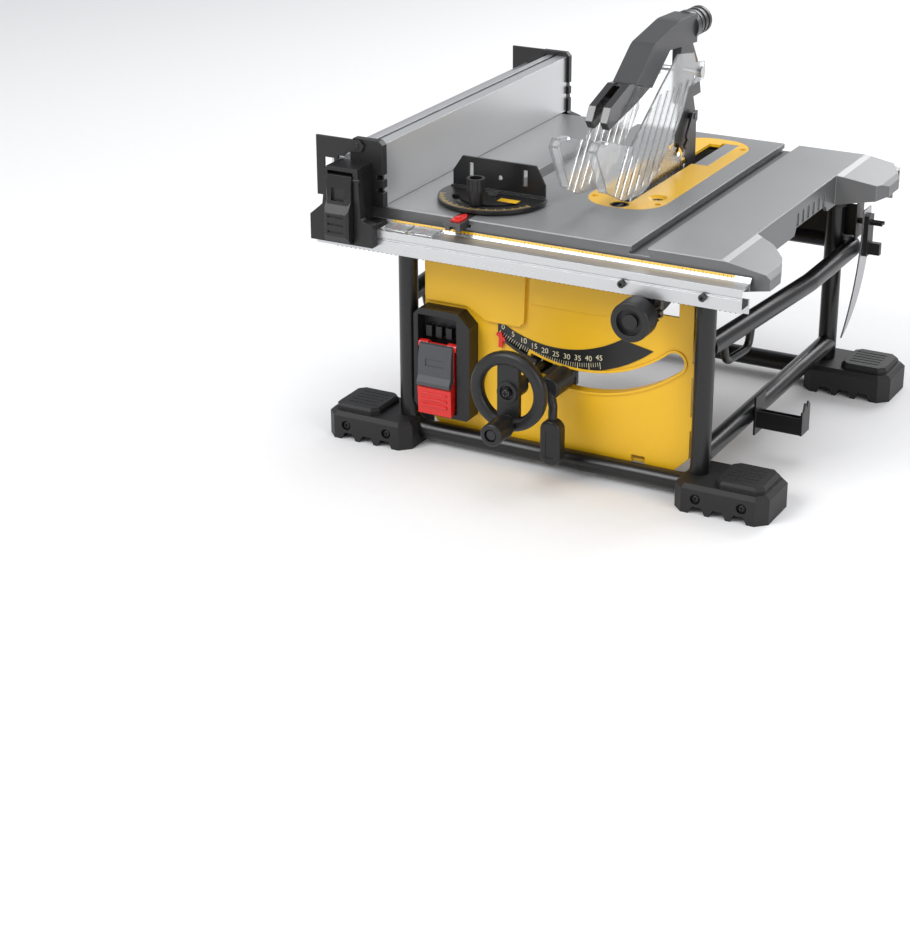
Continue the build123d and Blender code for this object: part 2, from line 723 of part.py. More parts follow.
def riving_knife():
    """Riving knife: concentric with the blade at the front, clamped to the carriage below the table."""
    thick = blade_plate
    points = [(60, 196), (60, 420), (88, 424), (106, 412), (125, 364), (knife_y1, 300), (knife_y1, 196)]
    knife = prism_x(points, blade_x - thick / 2, blade_x + thick / 2)
    knife -= cyl_x(blade_r + knife_gap, 0, 80, arbor_y, arbor_z)
    knife = knife.solids().sort_by(SortBy.VOLUME)[-1]
    return knife - cyl_x(4 + run_fit, 0, 80, pawl_y, pawl_z)


pawl_y = 104.0
pawl_z = 372.0


def pawls():
    """Toothed anti-kickback pawls either side of the knife, on one pin."""
    outline_points = [(pawl_y + 8, pawl_z + 6), (pawl_y + 8, pawl_z - 6), (pawl_y - 4, pawl_z - 12)]
    outline_points += [(84, 330), (72, 326), (78, 336), (74, 340), (82, 346), (79, 351), (pawl_y - 8, pawl_z + 6)]
    pin = cyl_x(4, blade_x - 9, blade_x + 9, pawl_y, pawl_z)
    for side in (-1, 1):
        x0 = blade_x + side * 5
        pin += prism_x(outline_points, min(x0, x0 + side * 3), max(x0, x0 + side * 3))
    return pin


# ---------------------------------------------------------------- blade guard
hinge_y = 62.0
hinge_z = 441.0
shield_x = 28.0
arm_half = 15.0


def guard_arm():
    """Hollow top arm with the front fork and the dust port."""
    side = [(-100, 459), (-49, 496), (28, 510), (84, 508), (84, 472), (0, 479), (-51, 444)]
    arm = prism_x(side, blade_x - arm_half, blade_x + arm_half)
    arm = chamfer(arm.edges().filter_by(Axis.X).filter_by(lambda e: e.center().Z > 490), 4)
    saddle = prism_x([(56, 480), (56, 398), (124, 398), (112, 440), (84, 480)], blade_x - 6, blade_x + 6)
    saddle -= prism_x([(40, 390), (40, 426), (130, 426), (130, 390)], blade_x - 0.9, blade_x + 0.9)
    saddle -= cyl_x(hinge_pin_r + run_fit, 0, 80, hinge_y, hinge_z)
    arm += saddle
    collar = cyl_y(19, 78, 88, blade_x, 491)
    port = cyl_y(15.5, 87, port_end, blade_x, 491)
    for y in (94, 106, 118):
        port += cyl_y(17.5, y, y + 6, blade_x, 491)
    arm = arm + collar + port
    return arm - cyl_y(port_bore, 76, port_end + 1, blade_x, 491)


hinge_pin_r = 3.5
port_end = 128.0
port_bore = 13.0


def guard_fork():
    """Two-pronged black nose at the front of the arm."""
    prong = [(-52, 446), (-100, 460), (-116, 462), (-166, 446), (-176, 430), (-168, 420), (-150, 424), (-96, 434)]
    made = []
    for side in (-1, 1):
        x0 = blade_x + side * 5
        x1 = blade_x + side * 14
        made.append(prism_x(prong, min(x0, x1), max(x0, x1)))
    web = prism_x([(-56, 448), (-99, 459.5), (-112, 458), (-92, 437)], blade_x - 6, blade_x + 6)
    body = made[0] + made[1] + web
    arm_side = [(-100, 459), (-49, 496), (-10, 496), (0, 479), (-51, 444)]
    return body - prism_x(arm_side, blade_x - 30, blade_x + 30)


def shield(side):
    """Clear side shield with its turned-in nose and ribs."""
    face = [(-238, 412), (-229, 421), (-206, 418), (-140, 396), (-62, 446), (-8, 478), (38, 470), (46, 456), (74, 452)]
    face += [(74, 430), (26, 430), (11, 404), (-8, 384), (-60, 348), (-88, 334), (-110, 329), (-160, 335), (-206, 356)]
    x_in = blade_x + side * shield_x
    x_out = x_in + side * 2.5
    wall = prism_x(face, min(x_in, x_out), max(x_in, x_out))
    for n in range(9):
        y = -196 + n * 21
        rib = [(y, 340), (y + 4, 340), (y + 74, 440), (y + 70, 440)]
        strip = prism_x(rib, min(x_out, x_out + side * 1.5), max(x_out, x_out + side * 1.5))
        wall += strip & prism_x(face, blade_x - 60, blade_x + 60)
    nose = [(-238, 412), (-229, 421), (-206, 418), (-206, 356)]
    x_nose = x_in - side * 9
    cap = prism_x(nose, min(x_nose, x_in), max(x_nose, x_in))
    cap -= prism_x([(-233, 412), (-228, 417), (-204, 414), (-200, 350)], blade_x - 60, blade_x + 60)
    wall += cap
    return wall - cyl_x(hinge_pin_r + run_fit, 0, 90, hinge_y, hinge_z)


def shield_pin():
    pin = cyl_x(hinge_pin_r, blade_x - shield_x - 5, blade_x + shield_x + 5, hinge_y, hinge_z)
    for side in (-1, 1):
        x0 = blade_x + side * (shield_x + 3)
        x1 = x0 + side * 2.5
        pin += cyl_x(7, min(x0, x1), max(x0, x1), hinge_y, hinge_z)
    return pin


# ---------------------------------------------------------------- rip rails and fine adjustment
def rail_profile():
    """Front rail section in (y, z): hollow channel open to the rear, a hook leg and a sloped scale fin."""
    o, i = rail_out, rail_in
    w = rail_wall
    outer = [(o, rail_low), (o, rail_low + 15), (o + 1.2, rail_low + 16), (o + 1.2, rail_low + 17.5), (o, rail_low + 18.5)]
    outer += [(o, rail_top), (i - 1, rail_top), (i + 3.6, rail_top + 5.6), (i + 4.4, rail_top + 4.6), (i, rail_top - 1)]
    outer += [(i, rail_top - 8), (i - w, rail_top - 8), (i - w, rail_top - w), (o + w, rail_top - w)]
    outer += [(o + w, rail_low + w), (i - w, rail_low + w), (i - w, rail_low + 9), (i, rail_low + 9)]
    outer += [(i, rail_low - 8), (i - 2.5, rail_low - 8), (i - 2.5, rail_low)]
    return outer


def rails():
    """Front and rear rail extrusions."""
    return both_y(prism_x(rail_profile(), rail_left, rail_right))


def rack_span():
    return rail_left + 6, rail_right - 6


def racks():
    """Racks under both rails, teeth down."""
    x0, x1 = rack_span()
    pitch_z = knob_z + pinion_r
    step = pi * rack_module
    root_z = pitch_z + 1.25 * rack_module
    bar = block(x0, x1, rack_front, rack_rear, root_z, rail_low)
    first = knob_x + step / 2
    count_left = int((first - x0 - step) / step)
    count_right = int((x1 - first - step) / step)
    half = step / 4 - 0.35
    tip_z = pitch_z - rack_module * 0.85
    slope = tan(radians(20))
    for n in range(-count_left, count_right + 1):
        x = first + n * step
        low = half - slope * (pitch_z - tip_z)
        high = half + slope * (root_z - pitch_z)
        tooth = [(x - high, root_z + 0.5), (x - low, tip_z), (x + low, tip_z), (x + high, root_z + 0.5)]
        bar += prism_y(tooth, rack_front, rack_rear)
    return both_y(bar) + rail_bolts()


def rail_slides():
    """Plastic slides on the table skirts that run in the rail channels."""
    made = []
    for x in (-24, 90, 180):
        head = block(x - 14, x + 14, rail_out + rail_wall + 2, rail_in - rail_wall - slide_gap,
                     rail_low + rail_wall + slide_gap, rail_top - rail_wall - slide_gap)
        neck = block(x - 12, x + 12, rail_in - rail_wall - 2, table_front, rail_low + 9 + slide_gap,
                     rail_top - 8 - slide_gap)
        made += both_y(head + neck)
    return made


def rail_bolts():
    """Socket screws in the front rail's face."""
    made = []
    for x in (117.0, 216.5):
        bolt = cyl_y(4.5, rail_out - 6, rail_out, x, rail_low + 12.5)
        bolt = chamfer(bolt.faces().sort_by(Axis.Y)[0].edges(), 0.8)
        bolt -= cyl_y(2.2, rail_out - 7, rail_out - 3, x, rail_low + 12.5)
        made.append(bolt)
    return made


def cross_shaft():
    """Shaft that turns the front and rear pinions together."""
    shaft = cyl_y(cross_r, -rail_in_rear() - 5, rail_in_rear() + 5, knob_x, knob_z)
    shaft += cyl_y(cross_r, rail_out - 12, 0, knob_x, knob_z)
    wheel = gear(pinion_teeth, rack_module, 0.5, 7)
    front = Pos(knob_x, rack_rear + 0.5, knob_z) * Rot(90, 0, 0) * Rot(0, 0, 90) * wheel
    rear = mirror(front, about=Plane.XZ)
    return shaft + front + rear


def rail_lock():
    """Dark lever beside the panel that clamps both rails."""
    hub = cyl_x(12, panel_half + 1, panel_half + 6, rail_lock_y, rail_lock_z)
    side = [(rail_lock_y - 8, rail_lock_z), (rail_lock_y + 8, rail_lock_z), (rail_lock_y + 5, 194), (rail_lock_y - 5, 194)]
    lever = prism_x(side, panel_half + 1, panel_half + 5)
    return hub + lever + cyl_x(4, panel_half - 10, panel_half + 2, rail_lock_y, rail_lock_z)


rail_lock_y = -196.0
rail_lock_z = 228.0


def rail_in_rear():
    return -rail_in + 12


def adjust_knob():
    front = rail_out - knob_len - 0.4
    knob = cyl_y(knob_r, front, front + knob_len, knob_x, knob_z)
    knob = fillet(knob.edges().filter_by(GeomType.CIRCLE), 3)
    knob -= cyl_y(knob_r - 8, front - 1, front + 6, knob_x, knob_z)
    knob += cyl_y(9, front + 2, front + 8, knob_x, knob_z)
    return knob - cyl_y(cross_r, rail_out - 12, front + knob_len + 1, knob_x, knob_z)


# ---------------------------------------------------------------- rip fence
def fence_beam():
    x1 = fence_face
    x0 = x1 - fence_width
    low = table_top + table_gap
    high = low + fence_height
    beam = block(x0, x1, fence_front, fence_rear, low, high)
    beam -= block(x0 - 1, x0 + 10, fence_front - 1, fence_rear + 1, low + 20, high + 1)
    inner = fence_wall
    beam -= block(x0 + 10 + inner, x1 - inner, fence_front - 1, fence_rear + 1, low + inner, high - 12)
    slot = x1 - 18
    beam -= block(slot - 2.5, slot + 2.5, fence_front - 1, fence_rear + 1, high - 10, high + 1)
    beam -= block(slot - 5, slot + 5, fence_front - 1, fence_rear + 1, high - 9.5, high - 3)
    beam -= block(x0 + 1.8, x0 + 9, fence_front - 1, fence_rear + 1, low + 2, low + 17)
    return beam


def fence_cap(y0, y1):
    """Moulded end cap that joins the beam to its carriage."""
    x1 = fence_face + 4
    x0 = fence_face - fence_width - 2
    low = table_top + table_gap
    cap = block(x0, x1, y0, y1, low, low + fence_height + 6)
    cap = chamfer(cap.edges().filter_by(Axis.Y).filter_by(lambda e: e.center().Z > low + 20), 5)
    for z in (low + 18, low + 34):
        cap -= block(x1 - 9, x1 + 1, y0 - 1, y1 + 1, z, z + 6)
    return cap - cyl_y(4 + run_fit, y0 - 1, y1 + 1, support_x, support_z)


def fence_caps():
    return [fence_cap(fence_front - 10, fence_front), fence_cap(fence_rear, fence_rear + 8)]


saddle_x0 = -292.5
saddle_x1 = -206.0
saddle_low = rail_low + 7.5
tower_x0 = -268.0
tower_x1 = -230.0
latch_x = (tower_x0 + tower_x1) / 2


def carriage_saddle(y_edge):
    """Moulded saddle over the front rail, with the tower that holds the latch."""
    top = rail_top + 7
    face = rail_out - 12
    wall = [(saddle_x0, saddle_low), (saddle_x1, saddle_low), (saddle_x1, rail_top + 8), (saddle_x1 - 14, rail_top + 12)]
    wall += [(tower_x1 + 8, rail_top + 14), (tower_x1 + 5, 366), (tower_x0, 366), (tower_x0 - 7, 318), (saddle_x0, 303)]
    front = prism_y(wall, face, rail_out - 0.4)
    over = block(saddle_x0 + 2, saddle_x1, rail_out - 1, rail_in - 2, rail_top + 0.3, top)
    low = table_top + table_gap - 0.5
    side = [(rail_out - 1, rail_top + 0.3), (rail_out - 1, 366), (y_edge, 366), (y_edge, low), (rail_in - 2, low)]
    tower = prism_x(side + [(rail_in - 2, rail_top + 0.3)], tower_x0, tower_x1 + 4)
    body = front + over + tower
    body -= block(latch_x - latch_half - 0.5, latch_x + latch_half + 0.5, face - 1, face + 8.5, saddle_low + 1.5, 361)
    body -= cyl_x(2.5 + run_fit, tower_x0 - 5, tower_x1 + 12, face + 1.5, latch_pivot_z)
    return body


latch_half = 17.0
latch_pivot_z = 352.0


def fence_saddles():
    front = carriage_saddle(fence_front - 10)
    rear = mirror(carriage_saddle(-fence_rear - 8 + 0), about=Plane.XZ)
    return front, rear


def latch_lever():
    """Curved latch lever with finger ribs, hinged at its top on a steel pin."""
    face = rail_out - 12
    pivot_y = face + 1.5
    side = [(pivot_y + 3, latch_pivot_z + 5), (pivot_y - 4, latch_pivot_z + 5), (pivot_y - 9, 330), (pivot_y - 9, 322)]
    side += [(pivot_y - 15, 312), (pivot_y - 15, 284), (pivot_y - 10, 276), (pivot_y - 3, 274), (pivot_y + 3, 300)]
    lever = prism_x(side, latch_x - latch_half, latch_x + latch_half)
    lever = chamfer(lever.edges().filter_by(Axis.Z).filter_by(lambda e: e.center().Y < pivot_y - 8), 3)
    for n in range(3):
        z = 308 - n * 9.5
        lever -= block(latch_x - 11, latch_x + 11, pivot_y - 16, pivot_y - 13, z - 1.6, z + 1.6)
    lever -= block(latch_x - 9, latch_x + 9, pivot_y - 12, pivot_y - 5, 326, 342)
    pin = cyl_x(2.5, tower_x0 - 1, tower_x1 + 8, pivot_y, latch_pivot_z)
    return [lever - pin, pin]


def support_arm():
    """Stamped L-shaped end plate of the flip-over work support."""
    y1 = fence_front - 10
    face = [(-301, 318), (-289, 318), (-289, 346), (-271, 346), (-271, 370), (-262, 370), (-256, 376), (-238, 378)]
    face += [(-234, 386), (-240, 392), (-301, 392)]
    return prism_y(face, y1 - 3, y1) - block(-290, -276, y1 - 4, y1 + 1, 351, 366)


def support_arms():
    front = support_arm()
    rear = Pos(0, fence_rear - fence_front + 21, 0) * front
    front += cyl_y(4, fence_front - 14, fence_front - 2, support_x, support_z)
    return [front, rear + cyl_y(4, fence_rear + 2, fence_rear + 12, support_x, support_z)]


support_x = -245.0
support_z = 384.5


def support_strip():
    """Thin aluminium angle of the work support, between its end plates."""
    y0 = fence_front - 10
    y1 = fence_rear + 8
    angle = [(-280.6, 330), (-278, 330), (-278, 367.5), (-263, 367.5), (-263, 370.5), (-280.6, 370.5)]
    return prism_y(angle, y0, y1)


# ---------------------------------------------------------------- housing
def curved_slot(half, start, y0, y1):
    """The slot the controls travel in: square at its hidden end, round at the other."""
    return ring_y(slot_r - half, slot_r + half, start, slot_to, y0, y1) + cyl_y(half, y0, y1, *polar(slot_r, slot_to))


def badge():
    """Raised plain plate at the panel's top left."""
    face = [(-176, 190), (-118, 190), (-92, 175), (-46, 175), (-40, 181), (-38, 255), (-44, 259), (-170, 259), (-176, 253)]
    return prism_y(face, panel_y - panel_skin - 5, panel_y - panel_skin)


def front_panel():
    outline_points = [(-panel_half, panel_high), (-panel_half, panel_low + panel_chamfer)]
    outline_points += [(-panel_half + panel_chamfer, panel_low), (panel_half - panel_chamfer, panel_low)]
    outline_points += [(panel_half, panel_low + panel_chamfer), (panel_half, panel_high)]
    body = prism_y(outline_points, panel_y - panel_skin, panel_y + panel_flange)
    w = panel_skin
    inner = [(-panel_half + w, panel_high + 1), (-panel_half + w, panel_low + panel_chamfer)]
    inner += [(-panel_half + panel_chamfer, panel_low + w), (panel_half - panel_chamfer, panel_low + w)]
    inner += [(panel_half - w, panel_low + panel_chamfer), (panel_half - w, panel_high + 1)]
    body -= prism_y(inner, panel_y, panel_y + panel_flange + 1)
    body += badge()
    brow = [(-34, 259), (-34, 206), (60, 206), (104, 222), (112, 259)]
    body += prism_y(brow, panel_y - panel_skin - 2.5, panel_y - panel_skin)
    body += curved_slot(slot_half + slot_rim, slot_from - 1.2, panel_y - panel_skin - 2, panel_y + 9)
    body -= curved_slot(slot_half, slot_from, panel_y - 20, panel_y + 20)
    body -= block(knob_x - 21, knob_x + 21, panel_y - 20, panel_y + 20, knob_z - 21, panel_high + 1)
    body -= block(switch_x0 + 10, switch_x1 - 10, panel_y - 20, panel_y + 2, switch_z0 + 14, switch_z1 - 14)
    body -= block(104, 122, panel_y - 20, panel_y + 1, panel_low - 1, panel_low + 9)
    for side in (-1, 1):
        for z in (90, 158):
            tab = block(side * (panel_half - 1), side * (post_x - 4), panel_y - w, panel_y, z - 9, z + 9)
            body += tab - cyl_z(tube_r + 0.05, 0, table_top, side * post_x, -post_y)
    body -= cyl_x(4 + run_fit, panel_half - 5, panel_half + 1, rail_lock_y, rail_lock_z)
    return body


switch_x0 = -183.0
switch_x1 = -105.0
switch_z0 = 45.0
switch_z1 = 184.0
switch_face = -230.0


def bevel_scale():
    """Black scale plate with a pale edge, above the curved slot."""
    lower = ThreePointArc((-77, 157), (0, 131.5), (129, 173))
    edge = Line((129, 173), (88, 181))
    upper = ThreePointArc((88, 181), (10, 155.5), (-77, 178))
    left = Line((-77, 178), (-77, 157))
    face = make_face(lower + edge + upper + left)
    plate = slab_y(face, panel_y - panel_skin - 1, panel_y - panel_skin)
    return plate - badge() - curved_slot(slot_half + slot_rim, slot_from - 1.2, panel_y - 10, panel_y)


def switch_bezel():
    c = 16
    face = [(switch_x0, switch_z0 + 14), (switch_x0 + 12, switch_z0)]
    face += [(switch_x1 - 4, switch_z0), (switch_x1, switch_z0 + 4)]
    face += [(switch_x1, switch_z1 - c), (switch_x1 - c, switch_z1), (switch_x0 + 8, switch_z1), (switch_x0, switch_z1 - 8)]
    y1 = panel_y - panel_skin
    body = prism_y(face, switch_face, y1)
    body -= block(switch_x0 + 6, switch_x1 - 18, switch_face - 1, y1 - 4, switch_z0 + 6, switch_z1 - 8)
    for x in (switch_x0 + 12, switch_x0 + 26, switch_x0 + 40):
        body += block(x, x + 8, y1 - 13, y1 - 4, paddle_pivot_z + 8, paddle_pivot_z + 22)
    body -= cyl_x(3 + run_fit, switch_x0 + 2, switch_x1 - 12, switch_face + 5, paddle_pivot_z)
    box = block(switch_x0 + 10.5, switch_x1 - 10.5, y1 - 1, y1 + 30, switch_z0 + 14.5, switch_z1 - 14.5)
    return body + box - block(button_x - 10.3, button_x + 10.3, y1 - 5, y1 + 6, button_z - 8.3, button_z + 8.3)


paddle_pivot_z = 137.0
button_x = (switch_x0 + 6 + switch_x1 - 18) / 2
button_z = 112.0


def start_button():
    y1 = panel_y - panel_skin
    button = block(button_x - 10, button_x + 10, y1 - 7, y1 + 1, button_z - 8, button_z + 8)
    return chamfer(button.faces().sort_by(Axis.Y)[0].edges(), 1.2)


def stop_paddle():
    """Red stop paddle hinged at the top of the switch recess."""
    x0 = switch_x0 + 6.6
    x1 = switch_x1 - 18.6
    pivot_y = switch_face + 5
    body = cyl_x(5.5, x0, x0 + 13, pivot_y, paddle_pivot_z) + cyl_x(5.5, x1 - 13, x1, pivot_y, paddle_pivot_z)
    body += cyl_x(3, switch_x0 + 2.3, switch_x1 - 12.3, pivot_y, paddle_pivot_z)
    strap = [(pivot_y - 5, paddle_pivot_z), (pivot_y + 3, paddle_pivot_z), (pivot_y + 2, 90), (pivot_y - 2, 52)]
    strap += [(pivot_y - 12, 49), (pivot_y - 14, 84), (pivot_y - 5, 92)]
    blade = prism_x(strap, x0 + 3, x1 - 3)
    for n in range(3):
        z = 60 + n * 8
        blade += block(x0 + 9, x1 - 9, pivot_y - 15, pivot_y - 11, z, z + 2.5)
    return body + blade


def paddle_cover():
    """Grey lock-off slide on the front of the paddle."""
    x0 = switch_x0 + 8
    x1 = switch_x1 - 20
    pivot_y = switch_face + 5
    side = [(pivot_y - 5.6, paddle_pivot_z + 4), (pivot_y - 9, paddle_pivot_z + 2), (pivot_y - 12, 124), (pivot_y - 13, 100)]
    side += [(pivot_y - 17, 92), (pivot_y - 17, 88), (pivot_y - 14.6, 86), (pivot_y - 5.6, 94)]
    cover = prism_x(side, x0 + 2, x1 - 2)
    return cover - block(x0 + 12, x1 - 12, pivot_y - 18, pivot_y - 11, 112, 122)


def rear_bridge():
    """Black sheet-steel cross-member behind the rear posts, with a turned end and the cord inlet hole."""
    y0 = post_y + tube_r + 0.1
    plate = block(-hoop_x + 2, hoop_x + 5, y0, y0 + 2, hoop_z + tube_r + 1, 247.5)
    plate += block(hoop_x + 3, hoop_x + 5, y0 - 14, y0 + 14, hoop_z + tube_r + 1, 252)
    plate -= cyl_y(cross_r + 2, y0 - 1, y0 + 3, knob_x, knob_z)
    return plate - cyl_y(9, y0 - 1, y0 + 3, -120, 228)


def cord_gland():
    """Rubber gland at the cord inlet in the rear cross-member."""
    y0 = post_y + tube_r + 0.1
    gland = cyl_y(12, y0 + 2, y0 + 9, -120, 228) + cyl_y(9, y0 - 6, y0 + 3, -120, 228)
    return gland - cyl_y(4.5, y0 - 10, y0 + 12, -120, 228)


def storage_hook():
    """Stamped hook on the lower right side tube, for the guard or the push stick."""
    x0 = post_x + tube_r + 0.1
    y = -62.0
    plate = block(x0, x0 + 2.5, y - 16, y + 16, 34, 84)
    shelf = block(x0, x0 + 62, y - 14, y - 12, 44, 66) + block(x0, x0 + 62, y - 14, y + 10, 44, 46)
    shelf += block(x0, x0 + 62, y + 8, y + 10, 44, 60)
    up = [(y - 15, 44), (y + 11, 44), (y + 11, 78), (y + 5, 84), (y, 76), (y - 5, 84), (y - 10, 74), (y - 15, 74)]
    return plate + shelf + prism_x(up, x0 + 60, x0 + 62.5)


def storage_clamp():
    """Clamp with a wing knob at the rear right that holds the spare knife."""
    x0 = hoop_x + tube_r + 2.2
    y = post_y + tube_r
    post = block(x0, x0 + 6, y - 10, y + 12, 182, 236)
    post = fillet(post.edges().filter_by(Axis.X), 2)
    post += block(x0 + 5, x0 + 21, y - 4, y + 4, 184, 200)
    pins = cyl_x(2.5, hoop_x + 5, x0 + 22, y - 2, 226) + cyl_x(2.5, hoop_x + 5, x0 + 22, y + 6, 226)
    return post + pins


def spare_knife():
    """Spare crescent knife hung on the storage clamp."""
    x0 = hoop_x + tube_r + 0.2
    y = post_y + tube_r
    outer = ThreePointArc((y + 16, 244), (y + 6, 160), (y - 70, 88))
    inner = ThreePointArc((y - 70, 88), (y - 24, 162), (y - 12, 244))
    face = make_face(outer + inner + Line((y - 12, 244), (y + 16, 244)))
    knife = extrude(Plane.YZ.offset(x0) * face, 2)
    knife -= cyl_x(2.5, x0 - 5, x0 + 10, y - 2, 226)
    return knife - cyl_x(2.5, x0 - 5, x0 + 10, y + 6, 226)


# ---------------------------------------------------------------- miter gauge
def miter_bar():
    x = slot_left_x
    foot_z = table_top - slot_depth + bar_fit
    bar = block(x - slot_width / 2 + bar_fit, x + slot_width / 2 - bar_fit, bar_front, bar_front + bar_len,
                foot_z, table_top - 0.3)
    foot_half = slot_foot / 2 - bar_fit
    bar += block(x - foot_half, x + foot_half, bar_front + 30, bar_front + 50, foot_z, foot_z + slot_foot_h - 2 * bar_fit)
    bar -= block(x - 4, x + 4, bar_front - 1, bar_front + 6, foot_z - 1, foot_z + 5)
    return bar + miter_pivot()


def miter_pointer():
    """Red reading pointer on the end of the miter bar."""
    x = slot_left_x
    shape = [(x - 6, bar_front + 6), (x + 6, bar_front + 6), (x + 7, bar_front + 22), (x + 2, bar_front + 34)]
    shape += [(x - 2, bar_front + 34), (x - 7, bar_front + 22)]
    pointer = prism_z(shape, table_top - 0.3, table_top + 1.7)
    return pointer + (cyl_z(3.4, table_top + 1.7, table_top + 4, x, bar_front + 14))


def miter_head():
    """Half-round protractor head with the upright face plate."""
    x = slot_left_x
    z0 = table_top + 2.5
    disc = cyl_z(miter_arc, z0, z0 + 4, x, miter_y)
    disc = disc & block(x - 80, x + 80, miter_y - 80, miter_y + 14, 0, 500)
    disc += block(x - 64, x + 64, miter_y + 10, miter_y + 14, z0, z0 + 6)
    curved = cyl_z(50, z0 - 1, z0 + 5, x, miter_y) - cyl_z(41, z0 - 1, z0 + 5, x, miter_y)
    spread = 90 * tan(radians(90 - miter_max - 6))
    wedge = prism_z([(x, miter_y), (x - 90, miter_y - spread), (x - 90, miter_y - 90), (x + 90, miter_y - 90),
                     (x + 90, miter_y - spread)], z0 - 2, z0 + 6)
    disc -= curved & wedge
    face = [(-63, 0), (63, 0), (63, 20), (50, 43), (-50, 43), (-63, 24)]
    wall = prism_y([(x + dx, z0 + dz) for dx, dz in face], miter_y + 14, miter_y + 17)
    for dx in (-38, 36):
        wall -= block(x + dx - 3, x + dx + 3, miter_y + 10, miter_y + 20, z0 + 16, z0 + 36)
    wall -= cyl_y(3, miter_y + 10, miter_y + 20, x + 2, z0 + 22)
    head = disc + wall
    return head - cyl_z(4 + run_fit, z0 - 2, z0 + 8, x, miter_y)


def miter_pivot():
    x = slot_left_x
    pivot = cyl_z(4, table_top - 1, table_top + 6.7, x, miter_y)
    return pivot + cyl_z(7, table_top + 6.7, table_top + 9, x, miter_y)


def miter_knob():
    """Tall clamp knob in the curved slot of the head."""
    x = slot_left_x
    y = miter_y - 45.5
    z = table_top + 7
    stem = cyl_z(3.5, table_top + 0.2, z, x, y)
    knob = Pos(x, y, z + 9) * Cone(8, 9.5, 18) + cyl_z(11, z + 17, z + 33, x, y)
    knob -= cyl_z(8, z + 27, z + 34, x, y)
    for n in range(8):
        knob -= Pos(x, y, 0) * Rot(0, 0, 45 * n) * cyl_z(2, z + 16.9, z + 33.1, 12.2, 0)
    return knob + stem


# ---------------------------------------------------------------- write the parts
os.makedirs("parts", exist_ok=True)
front_saddle, rear_saddle = fence_saddles()
parts = {
    "end_frames": end_frames(),
    "side_tubes": side_tubes(),
    "upper_hoop": upper_hoop(),
    "feet": feet(),
    "foot_screws": foot_screws(),
    "post_sockets": post_sockets(),
    "table": table(),
    "throat_plate": throat_plate(),
    "throat_lock": throat_lock(),
    "track_plates": track_plates(),
    "tilt_cradle": cradle(),
    "guide_rods": guide_rods(),
    "lift_screw": lift_screw(),
    "wheel_shaft": wheel_shaft(),
    "handwheel": handwheel(),
    "crank_knob": crank_knob(),
    "bevel_lock": lock_lever(),
    "bevel_pointer": bevel_pointer(),
    "lift_carriage": carriage(),
    "motor_can": motor(),
    "armature": armature(),
    "arbor": [arbor()] + blade_flanges(),
    "saw_blade": saw_blade(),
    "blade_shroud": blade_shroud(),
    "riving_knife": riving_knife(),
    "kickback_pawls": pawls(),
    "guard_arm": guard_arm(),
    "guard_fork": guard_fork(),
    "left_shield": shield(-1),
    "right_shield": shield(1),
    "shield_pin": shield_pin(),
    "rails": rails(),
    "racks": racks(),
    "rail_slides": rail_slides(),
    "cross_shaft": cross_shaft(),
    "adjust_knob": adjust_knob(),
    "rail_lock": rail_lock(),
    "fence_beam": fence_beam(),
    "fence_caps": fence_caps(),
    "front_saddle": front_saddle,
    "rear_saddle": rear_saddle,
    "front_latch": latch_lever(),
    "rear_latch": [mirror(solid, about=Plane.XZ) for solid in latch_lever()],
    "support_arms": support_arms(),
    "support_strip": support_strip(),
    "front_panel": front_panel(),
    "bevel_scale": bevel_scale(),
    "switch_bezel": switch_bezel(),
    "start_button": start_button(),
    "stop_paddle": stop_paddle(),
    "paddle_cover": paddle_cover(),
    "rear_bridge": rear_bridge(),
    "cord_gland": cord_gland(),
    "storage_hook": storage_hook(),
    "storage_clamp": storage_clamp(),
    "spare_knife": spare_knife(),
    "miter_bar": miter_bar(),
    "miter_pointer": miter_pointer(),
    "miter_head": miter_head(),
    "miter_knob": miter_knob(),
}
for name, shape in parts.items():
    write(name, shape)
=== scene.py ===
import json
import math

import bpy
from mathutils import Matrix, Vector


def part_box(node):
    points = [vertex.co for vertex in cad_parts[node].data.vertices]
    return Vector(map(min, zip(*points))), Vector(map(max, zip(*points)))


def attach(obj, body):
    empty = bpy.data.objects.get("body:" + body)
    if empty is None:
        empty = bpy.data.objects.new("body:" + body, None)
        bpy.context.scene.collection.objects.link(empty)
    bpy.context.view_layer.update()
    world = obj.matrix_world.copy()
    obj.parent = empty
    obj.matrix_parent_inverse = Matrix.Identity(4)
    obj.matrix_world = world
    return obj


bl_info = {
    "name": "Compact table saw",
    "blender": (4, 2, 0),
    "version": (1, 0, 0),
    "location": "3D View > Sidebar > Table saw",
    "description": "Finishes, scales, windows and stage of a compact benchtop table saw",
    "category": "Object",
}

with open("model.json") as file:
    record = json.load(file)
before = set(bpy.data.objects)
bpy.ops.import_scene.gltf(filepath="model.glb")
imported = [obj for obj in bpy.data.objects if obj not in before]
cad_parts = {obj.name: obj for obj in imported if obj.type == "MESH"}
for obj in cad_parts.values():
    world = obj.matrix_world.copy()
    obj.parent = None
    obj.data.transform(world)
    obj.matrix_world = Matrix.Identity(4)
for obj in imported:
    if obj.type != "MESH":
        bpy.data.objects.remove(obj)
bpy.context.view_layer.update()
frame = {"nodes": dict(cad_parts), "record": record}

PRINT_THICKNESS = 0.00016  # ink and decals stand this far out of the part they lie on
LONG_MARK_WIDTH, SHORT_MARK_WIDTH = 0.0009, 0.0006
LAST_BEVEL = 45  # degrees
MITER_MARKS = range(-70, 71, 2)  # degrees
MITER_CENTRE = (-0.109, -0.160)
MITER_RISE = 0.00658  # top of the head's disc, and half the ink, above the table
RIP_STEP = 0.005  # between two marks of the rip scale
FIN_MIDDLE = (0.0, -0.2465, 0.2945)  # middle of the sloped face of the front rail's fin
TAPE_THICKNESS = 0.0003
WINDOW_PLACES = (-0.184, -0.147)
